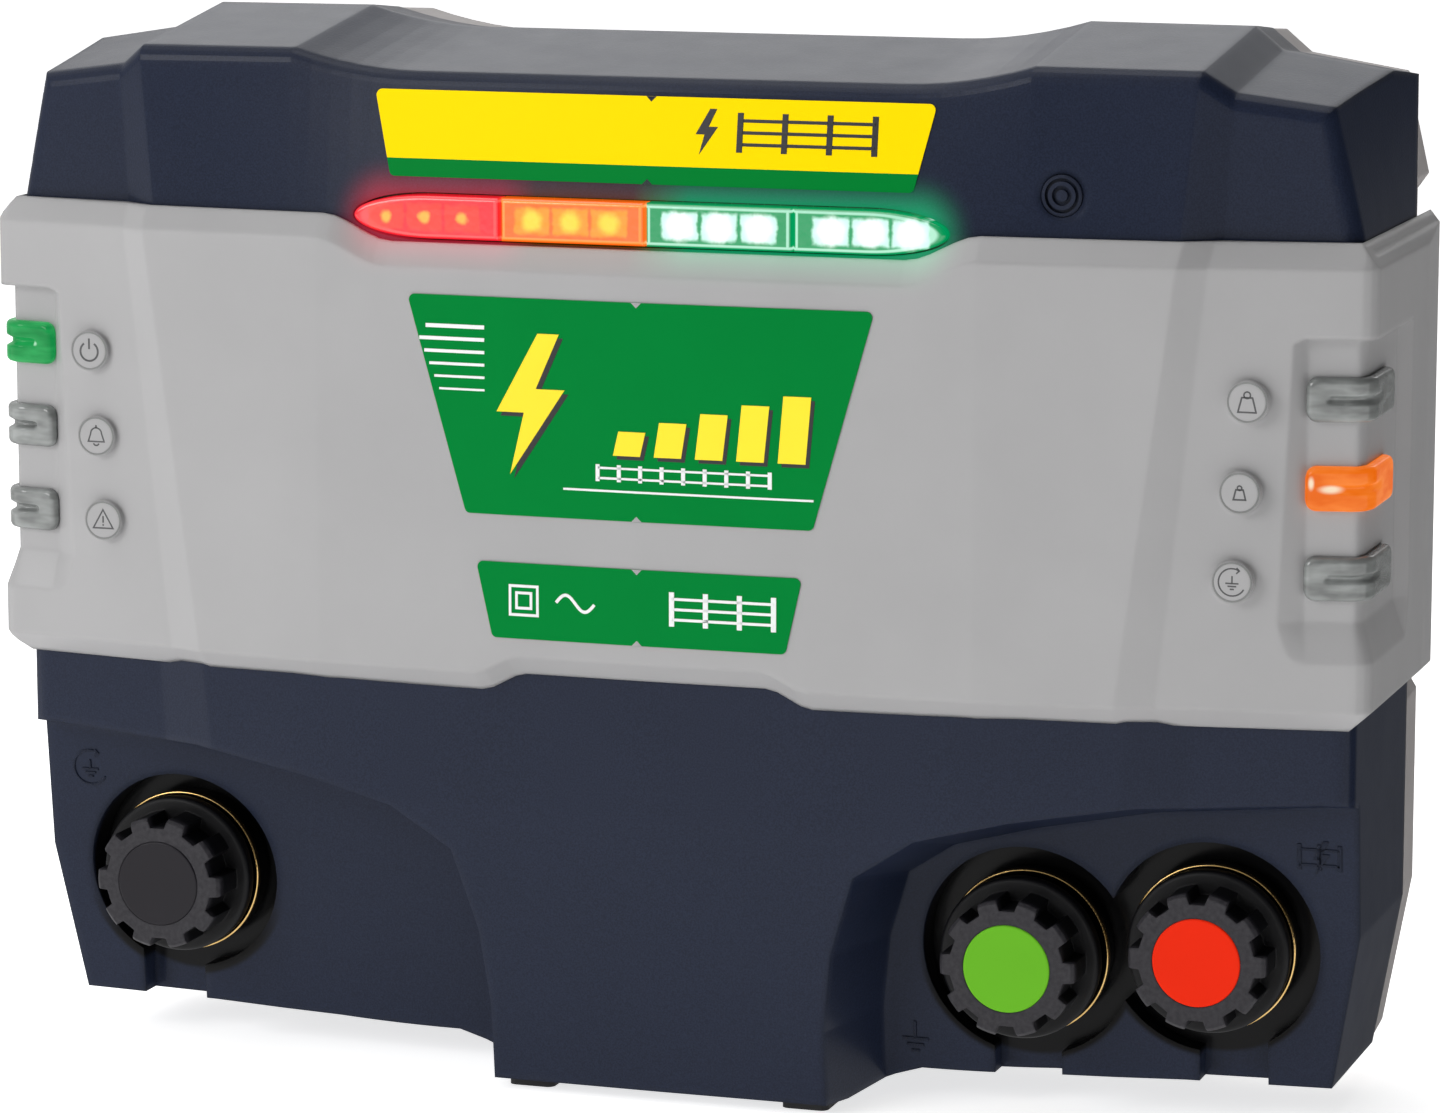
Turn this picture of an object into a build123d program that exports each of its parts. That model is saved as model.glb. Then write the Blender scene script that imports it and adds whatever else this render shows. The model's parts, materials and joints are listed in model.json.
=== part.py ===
from build123d import *
import os
from math import cos, pi, sin, sqrt, tan

# Mains fence energizer, wall-hung or standing. Millimetres, +Z up, the front faces -Y and
# the back (the wall side) faces +Y. The origin is on the ground under the middle of the case.

os.makedirs("parts", exist_ok=True)

# ---------------------------------------------------------------- driving dimensions
HALF_WIDTH = 178.5          # to the side of the fascia band
FRONT_Y = -53.45            # middle of the fascia band
BACK_Y = 53.75              # flat back that lies on the wall
SEAM_Y = 33.0               # joint between front and rear housing
CREST_Y = 14.0              # highest line of the roof
CREST_FALL = 1.8            # the roof falls this much from its crest to the seam
EDGE_R = 4.0                # rounding along the eaves
SIDE_EDGE_R = 5.0           # rounding of the upright front corners
WALL = 3.0                  # housing wall
GAP = 0.3                   # air between neighbouring mouldings
SIDE_X = 173.5              # side of the front housing
ROOF_SLOPE = 0.1405         # the roof climbs 8 degrees from the eaves to its crest
FOOT_Z = 222.0              # where the hood starts, at the top of the band
HOOD_LEAN_FRONT = 0.232     # how fast the hood's sides come in at the front corner
HOOD_LEAN_CREST = 0.0705    # and at the crest
SKIRT_Z = 51.0              # below this the lower sides come in
SKIRT_LEAN = 0.18

BAND_TOP = 222.0            # top edge of the band, outside the dip
BAND_DIP = 215.7            # top edge of the band in the middle
BAND_BOTTOM = 104.7         # bottom edge of the band
BAND_ARCH = 109.3           # bottom edge of the band in the middle
BEVEL_OUT_TOP = 4.5         # bevels along the band's two edges
BEVEL_TALL_TOP = 5.7
BEVEL_OUT_LOW = 5.9
BEVEL_TALL_LOW = 5.3
BAND_REAR_Y = 47.75
BAND_SKIN = 2.6
CORNER_R = 5.0

STUD_R = 4.0                # M8 terminal studs
STUD_FIT = 0.05             # radial clearance of the knob on the stud
PLATE_Y = -19.25            # front of the brass contact plates
TERMINAL_Z = 46.0
GROUND_Z = 41.5
TERMINALS = {               # name: (x, z, how far it is backed off at rest, recess radius)
    "earth_test": (-136.9, TERMINAL_Z, 0.0, 26.0),
    "ground": (90.0, GROUND_Z, 2.5, 27.0),
    "fence": (136.9, TERMINAL_Z, 0.0, 27.0),
}
LEAD_SLOTS = {"earth_test": -141.4, "ground": 89.6, "fence": 142.0}
SLOT_W = 17.3
RECESS_Y = -9.0             # bottom of the round terminal recesses

BAR_Z = 221.9               # light bar
BAR_HALF = 76.1
BAR_TALL = 10.7
BAR_NOSE = 20.0
BAR_FRONT_Y = -47.4
WINDOW = 37.6               # one window of the light bar

GUIDE_Z = (185.1, 163.8, 142.2)
GUIDE_TALL = 10.8
DISC_PLACES = ((149.4, 184.7), (147.9, 163.0), (146.4, 141.5))
DISC_R = 5.1


def ease(t):
    return t * t * (3 - 2 * t)


def mix(a, b, t):
    return a + (b - a) * t


def rise(t):
    return t * t


def blend_rows(first, second, steps, curve=ease):
    """Rows between two stations: x runs evenly, every other value follows the curve."""
    rows = []
    for i in range(1, steps):
        t = i / steps
        x_part = [mix(a, b, t) for a, b in zip(first[:2], second[:2])]
        rest = [mix(a, b, curve(t)) for a, b in zip(first[2:], second[2:])]
        rows.append(tuple(x_part + rest))
    return rows


def both_sides(rows):
    """The stations of the right half, mirrored to run from the left side to the right."""
    left = [(-row[0], -row[1]) + tuple(row[2:]) for row in rows[:0:-1]]
    return left + list(rows)


def rounded(points, corner, radius, steps=4):
    """The outline with one corner replaced by points along an arc."""
    before, tip, after = [Vector(*points[corner + i], 0) for i in (-1, 0, 1)]
    back = (before - tip).normalized()
    forth = (after - tip).normalized()
    half_angle = back.get_angle(forth) * pi / 360
    middle = tip + (back + forth).normalized() * (radius / sin(half_angle))
    first = tip + back * (radius / tan(half_angle)) - middle
    last = tip + forth * (radius / tan(half_angle)) - middle
    turn = pi - 2 * half_angle
    arc_points = []
    for i in range(steps + 1):
        weight_first = sin(turn * (1 - i / steps)) / sin(turn)
        weight_last = sin(turn * i / steps) / sin(turn)
        spot = middle + first * weight_first + last * weight_last
        arc_points.append((spot.X, spot.Y))
    return points[:corner] + arc_points + points[corner + 1:]


def leaning_plane(x_low, z_low, x_high, z_high):
    """Upright plane along Y whose X runs from x_low at z_low to x_high at z_high."""
    lean = (x_high - x_low) / (z_high - z_low)
    return Plane(origin=(x_low, 0, z_low), x_dir=(0, 1, 0), z_dir=(1, 0, -lean)), sqrt(1 + lean**2)


def facing_front(x, z, y=0.0):
    """Sketch plane at y that looks out of the front; extruding goes towards -Y."""
    return Plane(origin=(x, y, z), x_dir=(1, 0, 0), z_dir=(0, -1, 0))


# ---------------------------------------------------------------- front housing shape
# Stations across the housing: x at the hood's foot, x at the eaves, wall y, eaves y, eaves z, floor z
HOUSING_ROWS = [
    (0.0, 0.0, -46.75, -40.75, 256.6, 3.0),
    (47.0, 47.0, -46.4, -40.7, 256.6, 3.0),
    (55.0, 55.0, -46.3, -40.7, 256.6, 6.4),
    (62.0, 62.0, -46.2, -40.7, 256.6, 8.6),
    (95.0, 95.0, -45.1, -40.65, 261.6, 9.7),
    (132.1, 136.0, -42.35, -40.65, 261.4, 10.3),
    (141.4, 143.3, -36.55, -36.85, 256.2, 11.2),
    (SIDE_X, SIDE_X, -31.6, -32.3, 252.1, 12.2),
]
VALLEY_TO_PLATEAU = blend_rows(HOUSING_ROWS[3], HOUSING_ROWS[4], 6, rise)
HOUSING_ROWS = HOUSING_ROWS[:4] + VALLEY_TO_PLATEAU + HOUSING_ROWS[4:]


def hood_side_x(y, z, inset):
    """Side of the hood: upright at its foot, leaning in most at the front."""
    front_y = HOUSING_ROWS[-1][2]
    lean = mix(HOOD_LEAN_FRONT, HOOD_LEAN_CREST, (y - front_y) / (CREST_Y - front_y))
    return SIDE_X - inset - lean * (z - FOOT_Z)


def housing_block(inset, rear_y):
    """The front housing as a solid block, moved inwards by inset, up to rear_y."""
    with BuildPart() as block:
        for x_foot, x_eaves, wall_y, eaves_y, eaves_z, floor_z in both_sides(HOUSING_ROWS):
            if abs(x_foot) == SIDE_X:
                x_foot -= inset * x_foot / SIDE_X
                x_eaves = x_foot
            plane, stretch = leaning_plane(x_foot, FOOT_Z, x_eaves, eaves_z)
            crest_z = eaves_z - inset + (CREST_Y - eaves_y) * ROOF_SLOPE
            outline = [
                (wall_y + 8.5 + inset, floor_z + inset),
                (wall_y + 3.5 + inset, 45.0),
                (wall_y + inset, 75.0),
                (wall_y + inset, FOOT_Z),
                (eaves_y + inset, eaves_z - inset),
                (CREST_Y, crest_z),
                (rear_y, crest_z - CREST_FALL * (rear_y - CREST_Y) / (SEAM_Y - CREST_Y)),
                (rear_y, floor_z + inset),
            ]
            outline = [(y, (z - FOOT_Z) * stretch) for y, z in outline]
            if inset < WALL:
                outline = rounded(outline, 5, 9.0)
                outline = rounded(outline, 4, EDGE_R - inset)
            with BuildSketch(plane):
                Polygon(*outline, align=None)
        loft(ruled=True)
        side = SIDE_X - inset
        with BuildSketch(Plane.XZ):
            far = side - SKIRT_LEAN * (SKIRT_Z + 10)
            Polygon((side, SKIRT_Z), (far, -10), (200, -10), (200, SKIRT_Z), align=None)
            mirror(about=Plane.YZ)
        extrude(amount=100, both=True, mode=Mode.SUBTRACT)
        for hand in (1, -1):
            for y in (-60, 40):
                # inside, both ends lean like the front corner: flat sides that never thin the wall
                top_x = hood_side_x(y if inset < WALL else HOUSING_ROWS[-1][2], 290, inset)
                with BuildSketch(facing_front(0, 0, y)):
                    corners = [(side, FOOT_Z), (top_x, 290), (200, 290), (200, FOOT_Z)]
                    Polygon(*[(hand * x, z) for x, z in corners], align=None)
            loft(ruled=True, mode=Mode.SUBTRACT)
    return block.part


def save(piece, name):
    piece.part.label = name
    export_step(piece.part, f"parts/{name}.step")


# ---------------------------------------------------------------- terminal bays
BAY_PLANE = Plane(origin=(0, -19.0, 46.0), x_dir=(1, 0, 0), z_dir=(0, -1, -0.108))
BAY_OUTLINE = [
    (190, 39), (165, 38), (124, 34), (94, 28), (72, 22), (60, 14),
    (54.7, -3), (52.4, -22), (52.4, -70), (190, -70),
]


def bay_room(margin):
    """The open bays under the shelf, grown by margin on every side."""
    with BuildPart() as room:
        with BuildSketch(BAY_PLANE.offset(-margin)):
            Polygon(*BAY_OUTLINE, align=None)
            if margin:
                offset(amount=margin, kind=Kind.INTERSECTION)
        extrude(amount=60, taper=-20)
        mirror(about=Plane.YZ)
        for name, (x, z, _, recess_r) in TERMINALS.items():
            with BuildSketch(facing_front(x, z, RECESS_Y + margin)):
                Circle(recess_r + margin)
            extrude(amount=30)
            slot_x = LEAD_SLOTS[name]
            with BuildSketch(facing_front(slot_x, z - 30, RECESS_Y + margin)):
                Rectangle(SLOT_W + 2 * margin, 60)
            extrude(amount=30)
    return room.part


# ---------------------------------------------------------------- front housing
BOSS_PLACES = [(160, 200), (160, 108), (60, 246), (-60, 246), (-160, 108), (-160, 200)]
BOSS_R = 5.0
SCREW_R = 1.9
BOSS_FRONT_Y = 16.0


def bar_outline(grow):
    """Light bar: straight in the middle, elliptic noses at both ends."""
    reach = BAR_HALF - BAR_NOSE
    Rectangle(2 * reach, BAR_TALL + 2 * grow)
    with Locations((reach, 0), (-reach, 0)):
        Ellipse(BAR_NOSE + grow, BAR_TALL / 2 + grow)


def is_front_corner(edge):
    middle = edge.center()
    upright = abs(edge.tangent_at(0.5).Z) > 0.8
    return upright and edge.length > 8 and middle.Y < -28 and abs(middle.X) > 165


cavity = housing_block(WALL, SEAM_Y + 1)
with BuildPart() as inside:
    add(cavity)
    add(bay_room(WALL), mode=Mode.SUBTRACT)

with BuildPart() as front_housing:
    add(housing_block(0, SEAM_Y - 0.4))
    front_corners = front_housing.edges().filter_by(is_front_corner)
    fillet(front_corners, radius=SIDE_EDGE_R)
    add(bay_room(0), mode=Mode.SUBTRACT)
    add(inside.part, mode=Mode.SUBTRACT)
    for x, z, _, _ in TERMINALS.values():
        with BuildSketch(facing_front(x, z, RECESS_Y + WALL)):
            Circle(20)
        extrude(amount=PLATE_Y + 1.5 - RECESS_Y - WALL, dir=(0, 1, 0))
        with BuildSketch(facing_front(x, z, 10)):
            Circle(STUD_R + 0.1)
        extrude(amount=40, mode=Mode.SUBTRACT)
    with BuildSketch(facing_front(0, BAR_Z, -36)):
        bar_outline(0.6)
    extrude(amount=20, mode=Mode.SUBTRACT)
    with BuildSketch(facing_front(103.5, 232, -36)):
        Circle(5.2)
    extrude(amount=20, mode=Mode.SUBTRACT)
    for x, z in BOSS_PLACES:
        side = 1 if x > 0 else -1
        with BuildSketch(facing_front(x, z, BOSS_FRONT_Y)):
            Circle(BOSS_R)
            if z > 210:
                with Locations((0, 8)):
                    Rectangle(3, 16)
            else:
                with Locations((side * 6, 0)):
                    Rectangle(12, 3)
        extrude(amount=BOSS_FRONT_Y - SEAM_Y + 0.4)
        with BuildSketch(facing_front(x, z, BOSS_FRONT_Y + 3)):
            Circle(SCREW_R)
        extrude(amount=-20, mode=Mode.SUBTRACT)
save(front_housing, "front_housing")


# ---------------------------------------------------------------- rear housing
# Right half of the rear housing's outline: x and z at the seam, x and z at the back
REAR_ROWS = [
    (0.0, 262.1, 0.0, 260.6), (60.0, 262.1, 60.0, 260.6),
    (94.0, 267.1, 94.0, 265.8), (136.6, 267.0, 135.4, 265.6), (143.6, 261.2, 142.0, 260.0),
    (171.6, 256.6, 166.4, 256.0), (173.0, 231.0, 172.2, 230.6), (170.0, 227.0, 169.4, 226.6),
    (169.8, 104.0, 169.2, 104.0), (172.9, 100.0, 171.6, 100.0),
    (172.9, SKIRT_Z, 171.6, SKIRT_Z), (166.0, 12.7, 164.6, 12.9), (62.0, 9.1, 62.0, 9.1),
    (54.0, 6.4, 54.0, 6.4), (46.0, 5.4, 46.0, 5.4), (0.0, 5.4, 0.0, 5.4),
]


def rear_rows(inset, at_back):
    """The outline at the seam or at the back, moved inwards by inset."""
    rows = REAR_ROWS[:2]
    for i in range(1, 6):
        valley, plateau = REAR_ROWS[1:3]
        rows = rows + [tuple(mix(a, b, i / 6 if k in (0, 2) else rise(i / 6))
                             for k, (a, b) in enumerate(zip(valley, plateau)))]
    rows = rows + REAR_ROWS[2:]
    middle_z = 120.0
    shrunk = []
    for row in rows:
        x, z = row[2:] if at_back else row[:2]
        new_x = x if x < 61 else x - inset
        shrunk.append((new_x, z - inset if z > middle_z else z + inset))
    return shrunk


def rear_block(inset, front_y, back_y):
    with BuildPart() as block:
        for y, at_back in ((front_y, False), (back_y, True)):
            right = rear_rows(inset, at_back)
            left = [(-x, z) for x, z in right[-2:0:-1]]
            with BuildSketch(facing_front(0, 0, y)):
                Polygon(*(right + left), align=None)
        loft(ruled=True)
    return block.part


KEYHOLE_Z = 190.0
KEYHOLE_SPACING = 200.0
KEY_HEAD_R = 5.5
KEY_SLOT_R = 2.75
GLAND_X = -20.0
GLAND_Y = 43.1
GLAND_HOLE_R = 6.2
POCKET_ROOM = (20.0, 15.3)
GLAND_SEAT_Z = 22.0

with BuildPart() as rear_housing:
    add(rear_block(0, SEAM_Y + 0.4, BACK_Y))
    add(rear_block(WALL, SEAM_Y, BACK_Y - WALL), mode=Mode.SUBTRACT)
    # raised pocket in the underside, where the mains cord comes in
    with BuildSketch(Plane.XY.offset(5.4)):
        with Locations((GLAND_X, GLAND_Y)):
            Rectangle(POCKET_ROOM[0] + 2 * WALL, POCKET_ROOM[1] + 4)
    extrude(amount=GLAND_SEAT_Z + WALL - 5.4)
    with BuildSketch(Plane.XY):
        with Locations((GLAND_X, GLAND_Y)):
            Rectangle(*POCKET_ROOM)
    extrude(amount=GLAND_SEAT_Z, mode=Mode.SUBTRACT)
    with BuildSketch(Plane.XY):
        with Locations((GLAND_X, GLAND_Y)):
            Circle(GLAND_HOLE_R)
    extrude(amount=60, mode=Mode.SUBTRACT)
    # keyholes for two wall screws
    with BuildSketch(facing_front(0, 0, BACK_Y + 1)):
        with GridLocations(KEYHOLE_SPACING, 1, 2, 1):
            with Locations((0, KEYHOLE_Z)):
                Circle(KEY_HEAD_R)
            with Locations((0, KEYHOLE_Z + 5.5)):
                Rectangle(2 * KEY_SLOT_R, 11)
            with Locations((0, KEYHOLE_Z + 11)):
                Circle(KEY_SLOT_R)
    extrude(amount=8, mode=Mode.SUBTRACT)
    # screw towers
    for x, z in BOSS_PLACES:
        side = 1 if x > 0 else -1
        with BuildSketch(facing_front(x, z, BACK_Y)):
            Circle(BOSS_R)
        extrude(amount=BACK_Y - SEAM_Y - 0.4)
        with BuildSketch(facing_front(x, z, BACK_Y)):
            Circle(3.6)
        extrude(amount=10, mode=Mode.SUBTRACT)
        with BuildSketch(facing_front(x, z, BACK_Y)):
            Circle(2.3)
        extrude(amount=60, mode=Mode.SUBTRACT)
    # posts for the main board
    with BuildSketch(facing_front(0, 0, BACK_Y - WALL)):
        with Locations((-120, 120), (120, 120), (-120, 214), (120, 214)):
            Circle(4)
    extrude(amount=BACK_Y - WALL - 32)
    with BuildSketch(facing_front(0, 0, 46)):
        with Locations((-120, 120), (120, 120), (-120, 214), (120, 214)):
            Circle(1.5)
    extrude(amount=20, mode=Mode.SUBTRACT)
save(rear_housing, "rear_housing")

with BuildPart() as housing_seal:
    add(rear_block(1.0, SEAM_Y - 0.35, SEAM_Y + 0.35))
    add(rear_block(2.4, SEAM_Y - 2, SEAM_Y + 2), mode=Mode.SUBTRACT)
save(housing_seal, "housing_seal")

with BuildPart() as housing_screws:
    for x, z in BOSS_PLACES:
        with BuildSketch(facing_front(x, z, BACK_Y - 10)):
            Circle(3.3)
        extrude(amount=-2.6)
        with BuildSketch(facing_front(x, z, BACK_Y - 10)):
            Circle(SCREW_R)
        extrude(amount=BACK_Y - 10 - BOSS_FRONT_Y - 4)
save(housing_screws, "housing_screws")

with BuildPart() as rubber_feet:
    for x, y, size, top in ((36.3, -26.3, 12, 3.0), (120, 43.5, 14, 10.4)):
        for side in (1, -1):
            with BuildSketch(Plane.XY):
                with Locations((side * x, y)):
                    RectangleRounded(size, size, 2)
            extrude(amount=top)
save(rubber_feet, "rubber_feet")


# ---------------------------------------------------------------- fascia band
# Stations: x at the band's foot, x at its top, front y, top z, bottom z
BAND_LOW_Z = BAND_BOTTOM + BEVEL_TALL_LOW
BAND_HIGH_Z = BAND_TOP - BEVEL_TALL_TOP
FLAT_PANEL = [
    (0.0, 0.0, FRONT_Y, BAND_DIP, BAND_ARCH),
    (31.0, 31.0, -53.1, BAND_DIP, BAND_ARCH),
    (43.0, 43.0, -52.8, BAND_DIP, BAND_BOTTOM),
    (66.0, 66.0, -52.2, BAND_DIP, BAND_BOTTOM),
    (84.5, 84.5, -51.6, BAND_TOP, BAND_BOTTOM),
    (118.7, 132.7, -48.25, BAND_TOP, BAND_BOTTOM),
    (128.0, 139.5, -44.75, BAND_TOP, BAND_BOTTOM),
]
CORNER_START = (HALF_WIDTH - CORNER_R, -38.0)


def band_rows(skin):
    rows = FLAT_PANEL[:2] + blend_rows(FLAT_PANEL[1], FLAT_PANEL[2], 4) + FLAT_PANEL[2:4]
    rows += blend_rows(FLAT_PANEL[3], FLAT_PANEL[4], 6) + FLAT_PANEL[4:]
    rows = [(a, b, y + skin, top, bottom) for a, b, y, top, bottom in rows]
    start_x, start_y = CORNER_START
    for i in range(5):
        turn = pi / 2 * i / 4
        x = start_x + (CORNER_R - skin) * sin(turn)
        y = start_y + skin + CORNER_R * (1 - cos(turn))
        rows.append((x, x, y, BAND_TOP, BAND_BOTTOM))
    return rows


def band_block(skin, bevelled=True):
    """The band as a solid block; a positive skin gives the room inside it."""
    with BuildPart() as block:
        for x_low, x_high, y, top, bottom in both_sides(band_rows(skin)):
            plane, stretch = leaning_plane(x_low, BAND_LOW_Z, x_high, BAND_HIGH_Z)
            if bevelled:
                outline = [
                    (y + BEVEL_OUT_LOW, bottom), (y, bottom + BEVEL_TALL_LOW),
                    (y, top - BEVEL_TALL_TOP), (y + BEVEL_OUT_TOP, top),
                    (BAND_REAR_Y, top), (BAND_REAR_Y, bottom),
                ]
            else:
                outline = [
                    (y + BEVEL_OUT_LOW - 1, bottom + BAND_SKIN),
                    (y, bottom + BEVEL_TALL_LOW + 1), (y, top - BEVEL_TALL_TOP + 1),
                    (y + BEVEL_OUT_TOP - 1, top - BAND_SKIN),
                    (BAND_REAR_Y + 1, top - BAND_SKIN), (BAND_REAR_Y + 1, bottom + BAND_SKIN),
                ]
            with BuildSketch(plane):
                Polygon(*[(v, (z - BAND_LOW_Z) * stretch) for v, z in outline], align=None)
        loft(ruled=True)
        if bevelled:
            with BuildSketch(Plane.XZ):
                Polygon(
                    (HALF_WIDTH, BAND_HIGH_Z), (HALF_WIDTH - BEVEL_OUT_TOP, BAND_TOP),
                    (HALF_WIDTH, BAND_TOP + 9), (HALF_WIDTH + 9, BAND_TOP), align=None,
                )
                Polygon(
                    (HALF_WIDTH, BAND_LOW_Z), (HALF_WIDTH - BEVEL_OUT_LOW, BAND_BOTTOM),
                    (HALF_WIDTH, BAND_BOTTOM - 9), (HALF_WIDTH + 9, BAND_BOTTOM), align=None,
                )
                mirror(about=Plane.YZ)
            extrude(amount=100, both=True, mode=Mode.SUBTRACT)
            with BuildSketch(Plane.XY.offset(90)):
                Polygon(
                    (HALF_WIDTH, 25), (HALF_WIDTH - 2.2, BAND_REAR_Y),
                    (HALF_WIDTH - 2.2, 60), (HALF_WIDTH + 5, 60), (HALF_WIDTH + 5, 25), align=None,
                )
                mirror(about=Plane.YZ)
            extrude(amount=140, mode=Mode.SUBTRACT)
    return block.part


POCKET_HIGH_X = 159.3       # the pockets' inner edges lean outwards from here at the top
POCKET_LOW_X = 155.6        # to here at the foot
POCKET_FLAT_X = 162.2       # full depth from here on
POCKET_TOP = 199.6
POCKET_RAMP_Z = 131.5       # below this the floor climbs back to the surface
POCKET_LOW = 121.5
POCKET_DEEP = 3.0
POCKET_REAR_Y = 8.0
PROUD = 0.3                 # the ramps run out this far beyond the surface


def pocket_zone(grow):
    """Box round the light pocket at the right-hand corner and its mirror image."""
    with BuildPart() as zone:
        with BuildSketch(Plane.XZ.offset(-POCKET_REAR_Y - grow)):
            Polygon(
                (POCKET_LOW_X - grow, POCKET_TOP - 3 + grow), (POCKET_FLAT_X, POCKET_TOP + grow),
                (190, POCKET_TOP + grow), (190, POCKET_LOW - grow),
                (POCKET_LOW_X - grow, POCKET_LOW - grow), align=None,
            )
        extrude(amount=80)
        mirror(about=Plane.YZ)
    return zone.part


def corner_plan(z, skin):
    """Plan of the right-hand corner at height z, sunk by skin between the pocket's ramps."""
    start_x, start_y = CORNER_START
    x_low, x_high, panel_y = FLAT_PANEL[-1][:3]
    panel_x = mix(x_low, x_high, (z - BAND_LOW_Z) / (BAND_HIGH_Z - BAND_LOW_Z))
    edge_x = mix(POCKET_LOW_X, POCKET_HIGH_X, (z - POCKET_LOW) / (POCKET_TOP - POCKET_LOW))
    outline = []
    for x, sink in ((POCKET_LOW_X - 5, -PROUD), (edge_x, -PROUD), (POCKET_FLAT_X, skin)):
        outline.append((x, mix(panel_y, start_y, (x - panel_x) / (start_x - panel_x)) + sink))
    outline += [(row[0], row[2]) for row in band_rows(skin)[-5:]]
    outline += [(HALF_WIDTH - skin, POCKET_REAR_Y - 6), (HALF_WIDTH + PROUD, POCKET_REAR_Y - 0.5)]
    return outline + [(HALF_WIDTH + PROUD, POCKET_REAR_Y + 1), (POCKET_LOW_X - 5, POCKET_REAR_Y + 1)]


def guide_zone():
    """Upright slabs at the three light guides of each side, in front of their rear ends."""
    with BuildPart() as zone:
        for z in GUIDE_Z:
            for side in (1, -1):
                with BuildSketch(Plane.XZ.offset(11.0)):
                    with Locations((side * 176, z)):
                        RectangleRounded(27, GUIDE_TALL, 2.5)
                extrude(amount=80)
    return zone.part


housing_shadow = housing_block(-GAP, SEAM_Y + 1)
band_solid = band_block(0)
with BuildPart() as corner_floor:       # what stays behind the pockets
    for low_z, low_skin, high_z in ((POCKET_LOW - 0.5, -PROUD, POCKET_RAMP_Z),
                                    (POCKET_RAMP_Z, POCKET_DEEP, POCKET_TOP + 1)):
        for z, skin in ((low_z, low_skin), (high_z, POCKET_DEEP)):
            with BuildSketch(Plane.XY.offset(z)):
                Polygon(*corner_plan(z, skin), align=None)
        loft(ruled=True)
    mirror(about=Plane.YZ)
with BuildPart() as pocket_cut:
    add(band_solid)
    add(corner_floor.part, mode=Mode.SUBTRACT)
    add(pocket_zone(0), mode=Mode.INTERSECT)

with BuildPart() as hollow:
    add(band_block(BAND_SKIN, bevelled=False))
    add(pocket_zone(BAND_SKIN), mode=Mode.SUBTRACT)

with BuildPart() as fascia_band:
    add(band_solid)
    add(hollow.part, mode=Mode.SUBTRACT)
    add(housing_shadow, mode=Mode.SUBTRACT)
    with BuildSketch(Plane.XY.offset(90)):
        Rectangle(2 * (SIDE_X + GAP), BAND_REAR_Y + 10, align=(Align.CENTER, Align.MIN))
    extrude(amount=150, mode=Mode.SUBTRACT)
    add(pocket_cut.part, mode=Mode.SUBTRACT)
    for x, z in DISC_PLACES:
        for side in (1, -1):
            with BuildSketch(facing_front(side * x, z, -40.0)):
                Circle(DISC_R)
            extrude(amount=4.6)
save(fascia_band, "fascia_band")


# ---------------------------------------------------------------- light guides and their pockets
GUIDE_SKIN = 0.4            # the guides lie this far inside the band's outer surface
GROOVE_DEEP = 1.7
GROOVE_TALL = 2.2
GUIDE_NAMES = {-1: ("power", "alarm", "warning"), 1: ("high_power", "low_power", "earth")}

with BuildPart() as groove_shell:      # the outer half of the guides' thickness
    add(band_block(GUIDE_SKIN - 1, bevelled=False))
    add(band_block(GUIDE_SKIN + GROOVE_DEEP, bevelled=False), mode=Mode.SUBTRACT)

with BuildPart() as guide_ring:
    add(band_block(GUIDE_SKIN, bevelled=False))
    add(band_block(POCKET_DEEP - 0.15, bevelled=False), mode=Mode.SUBTRACT)
    add(guide_zone(), mode=Mode.INTERSECT)

for side, names in GUIDE_NAMES.items():
    for guide_name, z in zip(names, GUIDE_Z):
        with BuildPart() as groove:
            add(groove_shell.part)
            with BuildSketch(Plane.XY.offset(z - GROOVE_TALL / 2)):
                with Locations((side * 181.5, -40)):
                    Rectangle(28, 66)
            extrude(amount=GROOVE_TALL, mode=Mode.INTERSECT)
        with BuildPart() as light_guide:
            add(guide_ring.part)
            with BuildSketch(Plane.XY.offset(z - 8)):
                with Locations((side * 176, -30)):
                    Rectangle(40, 60)
            extrude(amount=16, mode=Mode.INTERSECT)
            add(groove.part, mode=Mode.SUBTRACT)
        save(light_guide, f"{guide_name}_light_guide")


# ---------------------------------------------------------------- light bar
LENS_NAMES = ("red", "amber", "inner_green", "outer_green")
LENS_DEEP = 5.0

for i, colour in enumerate(LENS_NAMES):
    left_edge = -BAR_HALF - 1 if i == 0 else (i - 2) * WINDOW + 0.25
    right_edge = BAR_HALF + 1 if i == 3 else (i - 1) * WINDOW - 0.25
    with BuildPart() as lens:
        with BuildSketch(facing_front(0, BAR_Z, BAR_FRONT_Y + LENS_DEEP)):
            bar_outline(0.0)
            with Locations(((left_edge + right_edge) / 2, 0)):
                Rectangle(right_edge - left_edge, 20, mode=Mode.INTERSECT)
        extrude(amount=LENS_DEEP)
        front_rim = lens.faces().sort_by(Axis.Y)[0].edges()
        fillet(front_rim, radius=1.2)
    save(lens, f"{colour}_bar_lens")

with BuildPart() as light_bar_board:
    with BuildSketch(facing_front(0, BAR_Z, -35.0)):
        RectangleRounded(166, 18, 3)
    extrude(amount=1.6)
save(light_bar_board, "light_bar_board")

with BuildPart() as light_bar_leds:
    with BuildSketch(facing_front(0, BAR_Z, -36.6)):
        for i in range(4):
            with Locations(((i - 1.5) * (WINDOW - 1.5), 0)):
                with GridLocations(10.5, 1, 3, 1):
                    Rectangle(5.0, 5.0)
    extrude(amount=2.4)
save(light_bar_leds, "light_bar_leds")


# ---------------------------------------------------------------- indicator boards and sounder
for side, word in ((-1, "left"), (1, "right")):
    with BuildPart() as indicator_board:
        with BuildSketch(facing_front(side * 158, 163.7, -22.0)):
            RectangleRounded(20, 66, 2)
        extrude(amount=1.6)
    save(indicator_board, f"{word}_indicator_board")

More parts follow.
